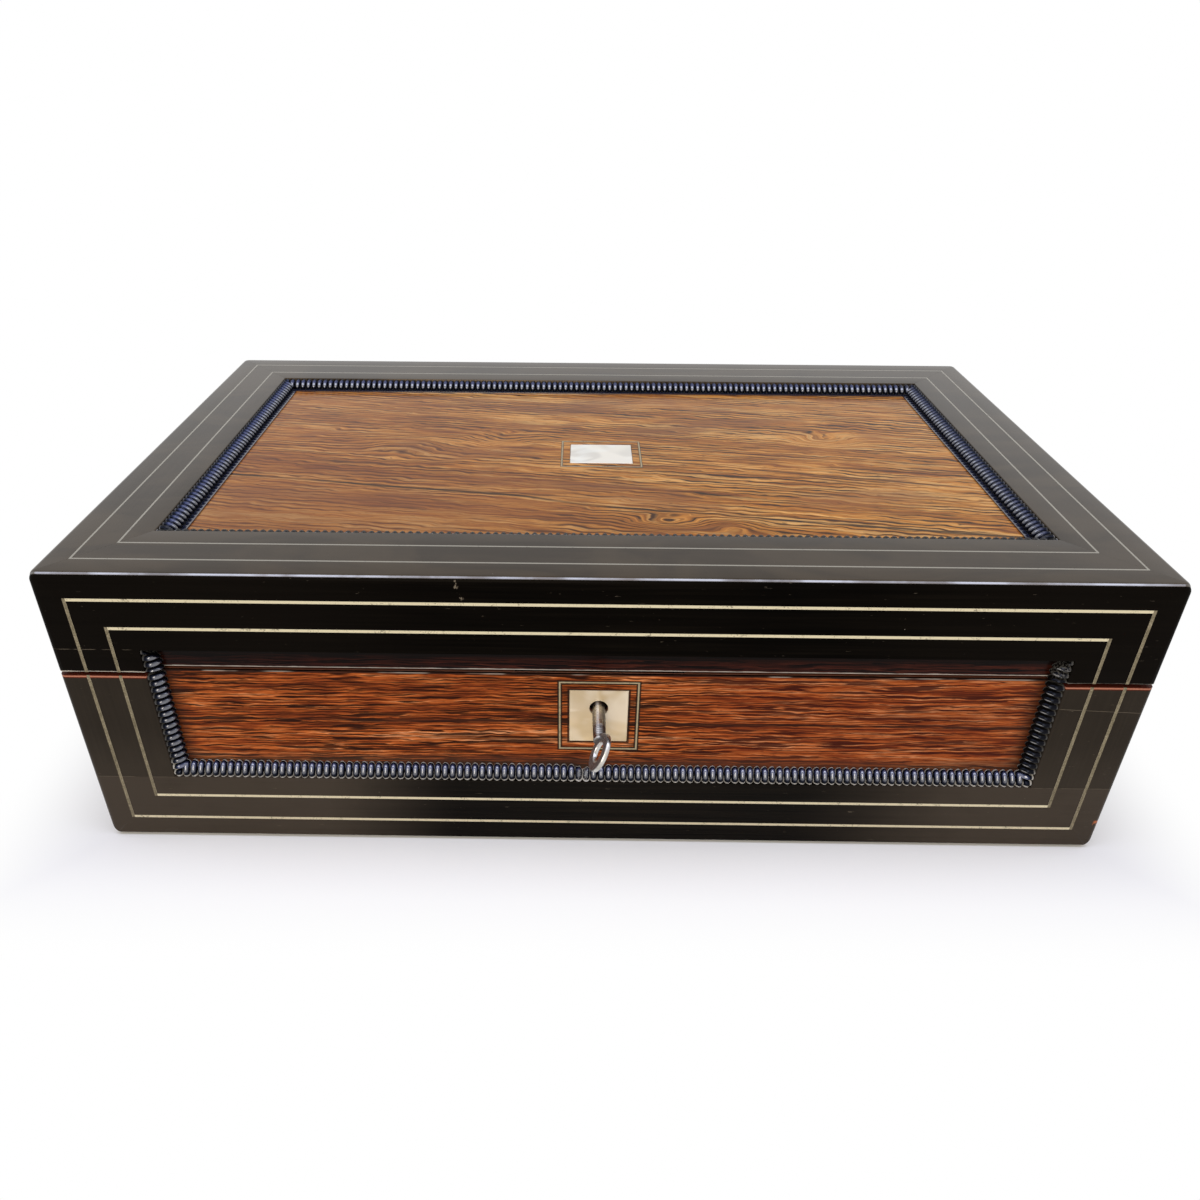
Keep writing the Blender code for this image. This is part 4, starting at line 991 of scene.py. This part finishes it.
# Painted shadow: the upper part of the strip darkens to near black under the top rail.
colour = strip_wood.layered(colour, ((0.0035, 0.0025, 0.002), strip_wood.z.between(0.0872, 0.0912) * 0.92),
                            ((0.42, 0.38, 0.33), bare * (0.55 + fray * 0.6)))
strip_wood.paint(Base_Color=colour, Roughness=0.24 + bare * 0.25)
strip_wood.relief(fine, 0.00005, 0.3)
strip = nest([(-recess_x, recess_x, split_at_front - strip_drop, height - frame_width - hairline, 0, z)
              for z in (-panel_sink - panel_sheet, -panel_sink)], FRONT, closed=False, steps=1)
set_out("strip_of_lid", rim_ease(sawn(strip, at_split(1)), 1, strip_rim), strip_wood, "lid",
        ["lid_front_strip"])


# Top frame: four ebonised rails with mitred corners, finely polished, round the sunk panel. Brown
# shows through the black in clouds, and the front arris catches a bright line of light.
top_joint = height - frame_depth
top_black = {}
for along in "xy":
    finish = Finish("ebonised_top_" + along, Roughness=0.1, Specular_IOR_Level=0.42,
                    Specular_Tint=(1.0, 0.75, 0.52, 1))
    black, grain, cloud = ebonised_colour(finish, along, 1.3)
    worn_brown = finish.noise((16, 38, 16), 3, 0.6, 1.0).between(0.36, 0.64)
    swirls = finish.noise((900, 900, 900), 2, 0.6, 2.5).between(0.70, 0.74) * 0.10
    colour = finish.layered(black, ((0.036, 0.026, 0.015), worn_brown * 0.8), ((0.20, 0.18, 0.15), swirls))
    finish.paint(Base_Color=colour, Roughness=0.085 + cloud * 0.09 + swirls)
    finish.relief(grain * 0.5 + cloud * 0.8, 0.00005, 0.22)
    if along == "x":
        bright_arris(finish)
    top_black[along] = finish
corners = {"front": (0, -1), "back": (0, 1), "left": (-1, 0), "right": (1, 0)}
for label, (to_x, to_y) in corners.items():
    toward = Vector((to_x, to_y, 0))
    sideways = Vector((-to_y, to_x, 0))
    cuts = [(Vector((0, -half_depth, height)), (0, -1, -1))]
    for way in (-1, 1):
        spot = Vector((half_width * (to_x or way * sideways.x), half_depth * (to_y or way * sideways.y), 0))
        cuts.append((spot - sideways * way * hairline / 2, sideways * way - toward))
    rail = sawn(nest(frame_loops(top_face, height, top_joint + hairline, top_string_width)), *cuts)
    set_out("top_rail_" + label, rail, top_black["x" if to_y else "y"], "lid",
            ["lid_top_rail_" + label])


# Top panel: a wide sheet of golden rosewood veneer, sunk 4.8 mm, under a thick clear polish. The
# figure wanders in long waves with a few near-black lines, redder towards the left. Along the back
# moulding lies a dotted red band, a painted reflection of its waves.
top_wood = Finish("top_rosewood", Roughness=0.12, Specular_IOR_Level=0.12,
                  Specular_Tint=(1.0, 0.82, 0.60, 1))
golden = ((0.39, (0.170, 0.044, 0.006)), (0.44, (0.310, 0.096, 0.012)), (0.49, (0.475, 0.172, 0.022)),
          (0.53, (0.640, 0.268, 0.046)), (0.59, (0.860, 0.450, 0.130)))
figure_slant, vein_black = 0.14, (0.018, 0.008, 0.004)
figure = top_wood.y + top_wood.x * figure_slant
for spot_x, spot_y, reach_x, reach_y, pull in (
        (0.107, 0.018, 0.020, 0.013, 0.010), (-0.090, 0.008, 0.034, 0.018, -0.008),
        (-0.046, 0.016, 0.022, 0.014, 0.007), (0.024, -0.068, 0.022, 0.009, 0.009),
        (0.052, -0.070, 0.018, 0.008, -0.006)):
    figure = figure + top_wood.x.near(spot_x, reach_x, 0) * top_wood.y.near(spot_y, reach_y, 0) * pull
colour, fine, pores = streaked(top_wood, figure, golden, wave=0.012, bend=26, spacing=0.0029, ripple=0.0036,
                               fineness=0.75, length=1.3, streaks=0.35, uneven=0.8)
patches = top_wood.noise((14, 34, 14), 3, 0.6, 0.8).between(0.50, 0.68)
near_left = (1 - top_wood.y.between(-0.060, 0.0)) * (1 - top_wood.x.between(-0.06, 0.05))
redness = 1 - (top_wood.x + (top_wood.y * 0.6)).between(-0.14, 0.03)
wander = (top_wood.noise((14, 3, 3), 3, 0.55, shift=(7, 2, 0)) - 0.5) * 0.005
level = top_wood.y + top_wood.x * figure_slant + wander
main_vein = (level + 0.0495 + top_wood.x.between(-0.04, 0.0) * 0.005).near(0, 0.0013, 0.3)
right_vein = (level + top_wood.x * 0.05 + 0.003).near(0, 0.0011, 0.3) * top_wood.x.between(0.0, 0.03)
veins = ((level - 0.012).near(0, 0.0007, 0.3) * 0.5).either(right_vein * 0.85).either(
    (level + 0.028).near(0, 0.0006, 0.3) * 0.5)
broken = top_wood.noise((26, 90, 26), 3).between(0.40, 0.54)
all_veins = (veins * broken).either(main_vein * (0.55 + broken * 0.45))
# Painted reflection of the back moulding's waves: a dotted red band along the back of the panel.
reflected_rib_marks = (top_wood.x * (1 / ripple_pitch)).math("FRACT").near(0.5, 0.5, 0.2)
painted_rib_reflection = top_wood.y.between(0.0800, 0.0820) * (0.45 + reflected_rib_marks * 0.35)
colour = top_wood.layered(
    colour, ((0.23, 0.080, 0.024), patches * 0.5), ((0.17, 0.075, 0.036), near_left * 0.32),
    ((0.26, 0.070, 0.020), redness * 0.30), (vein_black, all_veins * 0.88),
    ((0.20, 0.050, 0.034), painted_rib_reflection))
top_wood.paint(Base_Color=colour, Roughness=0.11 + pores * 0.10)
top_wood.relief(fine - pores * 0.5, 0.00003, 0.15)
tablet_half = (0.01425, 0.01075)
top_panel = nest(panel_loops((-recess_x, recess_x, -recess_y, recess_y), (0, 0), tablet_half,
                             height - panel_sink), steps=1)
set_out("rosewood_top_panel", top_panel, top_wood, "lid", ["lid_top_panel"])


# Tablet: a plain plate of mother-of-pearl in the middle of the top, left bare, with a thin dull
# metal line round it like the escutcheon's.
tablet_pearl = pearly("tablet_pearl", (0.90, 0.84, 0.66), (0.88, 0.82, 0.66), "y", -0.01, 0.01)
tablet_face = height - panel_sink
set_out("pearl_tablet", plate_of_pearl(0, 0, tablet_half, tablet_face), tablet_pearl, "lid",
        ["tablet"])
border_line("tablet_line", 0, 0, tablet_half, tablet_face, "y", "lid", "tablet_border")


# Hinges, lock and link plate: brass butt hinges let into the rims at the back, and a box lock of
# brass in the front board, whose steel bolt slides under two staples of the plate in the lid.
def aged_metal(name, bright, dark, brushing=0.3, shaded=lambda finish, colour: colour):
    """Brushed metal with cloudy stains. Painted shade and highlights, where a piece has them, are laid over
    it.
    """
    finish = Finish(name, Metallic=1.0, Roughness=0.3)
    cloud = finish.noise((140, 140, 140), 4, 0.65)
    brushed = finish.noise((120, 2500, 2500), 2, 0.5)
    stain = cloud.between(0.48, 0.66)
    finish.paint(Base_Color=shaded(finish, finish.mix(bright, dark, stain * 0.8)),
                 Roughness=0.22 + stain * 0.2 + brushed * 0.1)
    finish.relief(brushed, 0.00003, brushing)
    return finish


def behind_keyhole(finish, colour):
    """Painted shade blackens the case behind the keyhole, where the key goes in; the plate is also darkened
    along its front edge.
    """
    on_plate = finish.z.between(0.0785, 0.0795)
    # Painted shade in the keyhole: the case behind it is blackened.
    keyhole_shade = finish.x.near(lock_x, 0.0075, 0.8) * (1 - finish.y.between(-0.1090, -0.1080)) * (1 - on_plate)
    edge = (1 - finish.y.between(-0.1116, -0.1108)) * on_plate
    return finish.mix(colour, (0.012, 0.009, 0.006), keyhole_shade.either(edge))


brass = aged_metal("aged_brass", (0.70, 0.50, 0.21), (0.30, 0.19, 0.07), shaded=behind_keyhole)
brass_edge, bolt_edge = 0.0001, 0.0002
steel = aged_metal("old_steel", (0.56, 0.56, 0.58), (0.26, 0.24, 0.22))
for node in ("base_hinge_left", "base_hinge_right", "lid_hinge_left", "lid_hinge_right", "lock_case",
             "lock_plate", "lock_link_plate"):
    eased(node, brass, brass_edge)
eased("lock_bolt", steel, bolt_edge)


# Screws: small countersunk brass screws, their heads filed flush with the leaves and plates and
# each slot lying as it stopped. Three hold each hinge leaf, and two each plate of the lock.
screw_radius, screw_drop, slot_half, head_sides = 0.0017, 0.0004, 0.00022, 24
hinge_x, screw_pitch, leaf_middle = 0.123, 0.018, -0.0062
plate_screw_x, below_face = 0.0288, 0.00003


def screw_unit():
    """A flat round head with a slot across it, drawn as a disc with a sunk bar."""
    mesh = bmesh.new()
    rim = [mesh.verts.new((screw_radius * math.cos(turn), screw_radius * math.sin(turn), 0))
           for turn in (2 * math.pi * step / head_sides for step in range(head_sides))]
    mesh.faces.new(rim)
    foot = bmesh.ops.extrude_face_region(mesh, geom=mesh.faces[:])["geom"]
    bmesh.ops.translate(mesh, vec=(0, 0, -screw_drop),
                        verts=[v for v in foot if isinstance(v, bmesh.types.BMVert)])
    bmesh.ops.recalc_face_normals(mesh, faces=mesh.faces)
    for side in (-1, 1):
        bmesh.ops.bisect_plane(mesh, geom=mesh.verts[:] + mesh.edges[:] + mesh.faces[:], dist=1e-7,
                               plane_co=(0, side * slot_half, 0), plane_no=(0, 1, 0))
    bar = [face for face in mesh.faces
           if face.normal.z > 0.9 and abs(face.calc_center_median().y) < slot_half]
    sunk_bar = bmesh.ops.extrude_face_region(mesh, geom=bar)["geom"]
    bmesh.ops.delete(mesh, geom=bar, context="FACES_ONLY")
    bmesh.ops.translate(mesh, vec=(0, 0, -screw_drop * 0.7),
                        verts=[v for v in sunk_bar if isinstance(v, bmesh.types.BMVert)])
    return meshed("screw", mesh)


screw_tree, screw_keys, given, add = new_tree("screws_in_place", (
    ("Screw", "NodeSocketObject"), ("Size", "NodeSocketFloat"), ("Seed", "NodeSocketInt"),
    ("Finish", "NodeSocketMaterial")))
screw = add("GeometryNodeObjectInfo", Object=given["Screw"])
turns = add("FunctionNodeRandomValue", {"data_type": "FLOAT"}, Seed=given["Seed"])
screw_tree.nodes[-1].inputs[3].default_value = math.pi
turned_by = add("ShaderNodeCombineXYZ", Z=turns[1])
heads = add("GeometryNodeInstanceOnPoints", Points=given["Geometry"], Instance=screw["Geometry"],
            Rotation=turned_by[0], Scale=given["Size"])
whole = add("GeometryNodeRealizeInstances", Geometry=heads[0])
coated = add("GeometryNodeSetMaterial", Geometry=whole[0], Material=given["Finish"])
screw_tree.links.new(coated[0], screw_tree.nodes.new("NodeGroupOutput").inputs[0])
SPLIT = Matrix.Translation(pivot) @ Matrix.Rotation(-slope, 4, "X")
screw_one = screw_unit()
plate_y = (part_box("lock_plate")[0].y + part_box("lock_plate")[1].y) / 2 - pivot.y
for side, body in ((-1, "base"), (1, "lid")):
    over = Matrix.Rotation(math.pi, 4, "X") if side == 1 else Matrix.Identity(4)
    spots = [(x + place * screw_pitch, leaf_middle, 0) for x in (-hinge_x, hinge_x) for place in (-1, 0, 1)]
    spots += [(lock_x + way * plate_screw_x, plate_y / math.cos(slope), 0) for way in (-1, 1)]
    points = bpy.data.meshes.new("screw_spots")
    points.from_pydata([over @ Vector(spot) for spot in spots], [], [])
    mesh = laid_out(screw_tree, screw_keys, points, {
        "Screw": screw_one, "Size": 1.0, "Seed": 3 + side, "Finish": brass.material})
    proud = Matrix.Translation((0, 0, side * (half_gap - below_face)))
    bmesh.ops.transform(mesh, matrix=SPLIT @ proud @ over, verts=mesh.verts)
    set_out(body + "_screws", mesh, brass, body)
for unit in (plain_rib, footed_rib, screw_one):
    bpy.data.objects.remove(unit)


# Key: a steel key, its shank turned with shallow rings below a flat ring bow, and its bit out of
# sight in the lock. It stands at a lean, so that the bow is nearly edge on.
key_lean = math.radians(27)
KEY = (Matrix.Translation((lock_x, -half_depth, keyhole_z)) @ Matrix.Rotation(key_lean, 4, "Y")
       @ Matrix.Rotation(math.pi / 2, 4, "X"))
shank_radius, neck_radius, bit_end, lathe_sides = 0.0025, 0.00242, -0.0083, 48
ring_pitch, first_ring, ring_count, ring_depth, ring_taper = 0.0010, 0.0070, 6, 0.00006, 0.00002
bow_radius, bow_centre, bow_width, bow_thickness = 0.0055, 0.0203, 0.0018, 0.00095
bow_sides, bow_steps, squareness = 20, 56, 0.45
bit_size, bit_drop = (0.0018, 0.006, 0.002), 0.003


def lathed(mesh, profile, place):
    """Turn a profile of radius and height about Z, closed where its radius is nothing."""
    rings = []
    for radius, z in profile:
        turns = [2 * math.pi * step / lathe_sides for step in range(lathe_sides if radius > 1e-9 else 1)]
        rings.append([mesh.verts.new(place @ Vector((radius * math.cos(turn), radius * math.sin(turn), z)))
                      for turn in turns])
    for near, far in zip(rings, rings[1:]):
        for step in range(lathe_sides):
            corners = [near[step % len(near)], near[(step + 1) % len(near)], far[(step + 1) % len(far)],
                       far[step % len(far)]]
            corners = list(dict.fromkeys(corners))
            if len(corners) > 2:
                mesh.faces.new(corners)


key = bmesh.new()
profile = [(0, bit_end - bit_size[2]), (shank_radius, bit_end - bit_size[2]), (shank_radius, 0.0044),
           (neck_radius, first_ring)]
for ring in range(ring_count):
    start = first_ring + ring * ring_pitch
    wide = neck_radius - ring * ring_taper
    profile += [(wide, start + 0.0001), (wide - ring_depth, start + 0.0002), (wide, start + 0.0003)]
profile += [(0.00225, 0.0140), (0.0018, 0.0146), (0, 0.0147)]
lathed(key, profile, KEY)
section = [(math.copysign(bow_width * abs(math.cos(turn)) ** squareness, math.cos(turn)),
            math.copysign(bow_thickness * abs(math.sin(turn)) ** squareness, math.sin(turn)))
           for turn in (2 * math.pi * (step + 0.5) / bow_sides for step in range(bow_sides))]
ring_place = KEY @ Matrix.Translation((0, 0, bow_centre)) @ Matrix.Rotation(math.pi / 2, 4, "Y")
band = []
for step in range(bow_steps):
    turn = 2 * math.pi * step / bow_steps
    out = Vector((math.cos(turn), math.sin(turn), 0))
    band.append([key.verts.new(ring_place @ (out * (bow_radius + across) + Vector((0, 0, thick))))
                 for across, thick in section])
bridged(key, band + band[:1])
bit = bmesh.ops.create_cube(key, size=1.0)["verts"]
bit_place = Matrix.Translation((0, -bit_drop, bit_end - bit_size[2] / 2))
bmesh.ops.transform(key, matrix=KEY @ bit_place @ Matrix.Diagonal((*bit_size, 1)), verts=bit)
bmesh.ops.recalc_face_normals(key, faces=key.faces)


def painted_key_light(finish, colour):
    """A painted highlight down the shank, painted shade down both its sides and in its rings, and darker on
    the flats of the bow.
    """
    out = 0 - finish.y - half_depth
    across = finish.x - lock_x
    on_shank = 1 - out.between(0.0138, 0.0146)
    # Painted shade down both sides of the shank, and a painted highlight down its middle.
    sides = abs(across + 0.0004).between(0.0007, 0.0021) * on_shank
    gleam = across.near(-0.0006, 0.0009, 0.2) * on_shank
    flats = abs(across * math.cos(key_lean) - (finish.z - keyhole_z) * math.sin(key_lean)).between(
        0.00070, 0.00090) * (1 - on_shank)
    rings = ((out - first_ring) * (1 / ring_pitch)).math("FRACT").near(0.2, 0.22, 0.3) * (
        out.between(first_ring, first_ring + 0.0002) * on_shank)
    # The metal is dulled under the painted highlight, so that it reads whiter, and on the flats.
    finish.paint(Metallic=1 - (gleam * 0.45).either(flats * 0.8))
    return finish.layered(colour, ((0.86, 0.84, 0.80), gleam * 0.8), ((0.060, 0.052, 0.045), sides * 0.85),
                          ((0.060, 0.049, 0.041), (rings * 0.8).either(flats * 0.9)))


key_steel = aged_metal("key_steel", (0.60, 0.58, 0.55), (0.42, 0.39, 0.35), 0.04, painted_key_light)
set_out("steel_key", key, key_steel, "key", ["key"], 30)


# Pen tray and dividers: a mahogany trough for pens lies on bearers between two cells for ink, in
# front of a plain wall that carries the writing flap.
tray_edge = 0.0004
for node in ("pen_tray", "tray_wall"):
    eased(node, mahogany["x"], tray_edge)
for node in ("cell_divider_left", "cell_divider_right"):
    eased(node, mahogany["y"], tray_edge)


# Ink bottles: thick square bottles of clear pressed glass with softened edges, each closed by a
# turned brass cap with four grooves for the fingers.
bottle_edge, cap_smooth = 0.0006, 40
groove_count, groove_pitch, first_groove = 4, 0.0011, 0.0014
glass = Finish("bottle_glass", Roughness=0.03, Transmission_Weight=1.0, IOR=1.5,
               Base_Color=(0.80, 0.90, 0.87, 1))
for label in ("left", "right"):
    eased("ink_bottle_" + label, glass, bottle_edge)
    lowest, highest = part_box("ink_cap_" + label)
    middle = (lowest + highest) / 2
    radius, tall = (highest.x - lowest.x) / 2, highest.z - lowest.z
    cap = bmesh.new()
    profile = [(0, 0), (radius - 0.0006, 0), (radius - 0.0002, 0.0002), (radius, 0.0008)]
    for groove in range(groove_count):
        start = first_groove + groove * groove_pitch
        profile += [(radius, start), (radius - 0.0003, start + 0.0003), (radius, start + 0.0006)]
    profile += [(radius, tall - 0.0016), (radius - 0.0003, tall - 0.0008), (radius - 0.0012, tall - 0.0002),
                (radius - 0.0028, tall), (radius - 0.0044, tall - 0.0003), (radius - 0.0050, tall - 0.0004),
                (radius - 0.0056, tall - 0.0001), (0, tall)]
    lathed(cap, profile, Matrix.Translation((middle.x, middle.y, lowest.z)))
    bmesh.ops.recalc_face_normals(cap, faces=cap.faces)
    set_out("turned_cap_" + label, cap, brass, "base", ["ink_cap_" + label],
            cap_smooth)


# Writing flaps: thin mahogany boards that meet at the fold, each faced with green leather let in
# flush. Gilt lines with a row of small dots between them are tooled round each leather.
flap_edge, leather_edge = 0.0003, 0.0002
dot_row, dots_per_metre = 0.0099, 200
green = ((0.25, (0.010, 0.032, 0.018)), (0.55, (0.028, 0.070, 0.040)), (0.85, (0.060, 0.115, 0.066)))
for node in ("base_flap", "lid_flap"):
    eased(node, mahogany["x"], flap_edge)
for side, node in ((-1, "base_flap_leather"), (1, "lid_flap_leather")):
    lowest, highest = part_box(node)
    near, far = ((y - pivot.y) / math.cos(slope) for y in (lowest.y, highest.y))
    leather = Finish(node.replace("_flap", "") + "_green", Roughness=0.5)
    along = (leather.y - pivot.y) * math.cos(slope) - (leather.z - pivot.z) * math.sin(slope)
    from_edge = leather.node("ShaderNodeMath", {"operation": "MINIMUM"}, {
        0: highest.x - abs(leather.x), 1: (far - near) / 2 - abs(along - (near + far) / 2)})
    pebble = leather.node("ShaderNodeTexVoronoi", {"feature": "F1"}, {
        "Vector": leather.stretched((1500, 1500, 1500)), "Scale": 1.0}, "Distance")
    rubbed = leather.noise((18, 18, 18), 4, 0.6)
    gilt = from_edge.near(0.0060, 0.00035, 0.6).either(from_edge.near(0.0074, 0.0002, 0.6)).either(
        from_edge.near(0.0124, 0.0002, 0.6))
    for way in (leather.x, along):
        beads = (way * dots_per_metre).math("FRACT").near(0.5, 0.2, 0.8)
        gilt = gilt.either(from_edge.near(dot_row, 0.0008, 0.8) * beads)
    gilt = gilt * (1 - rubbed.between(0.52, 0.72) * 0.7)
    ground = leather.ramp(rubbed * 0.7 + pebble * 0.3, *green)
    leather.paint(Base_Color=leather.mix(ground, (0.62, 0.42, 0.14), gilt), Metallic=gilt,
                  Roughness=0.5 - gilt * 0.2 + rubbed * 0.1)
    leather.relief(pebble - gilt * 0.8, 0.00012, 0.5)
    eased(node, leather, leather_edge)
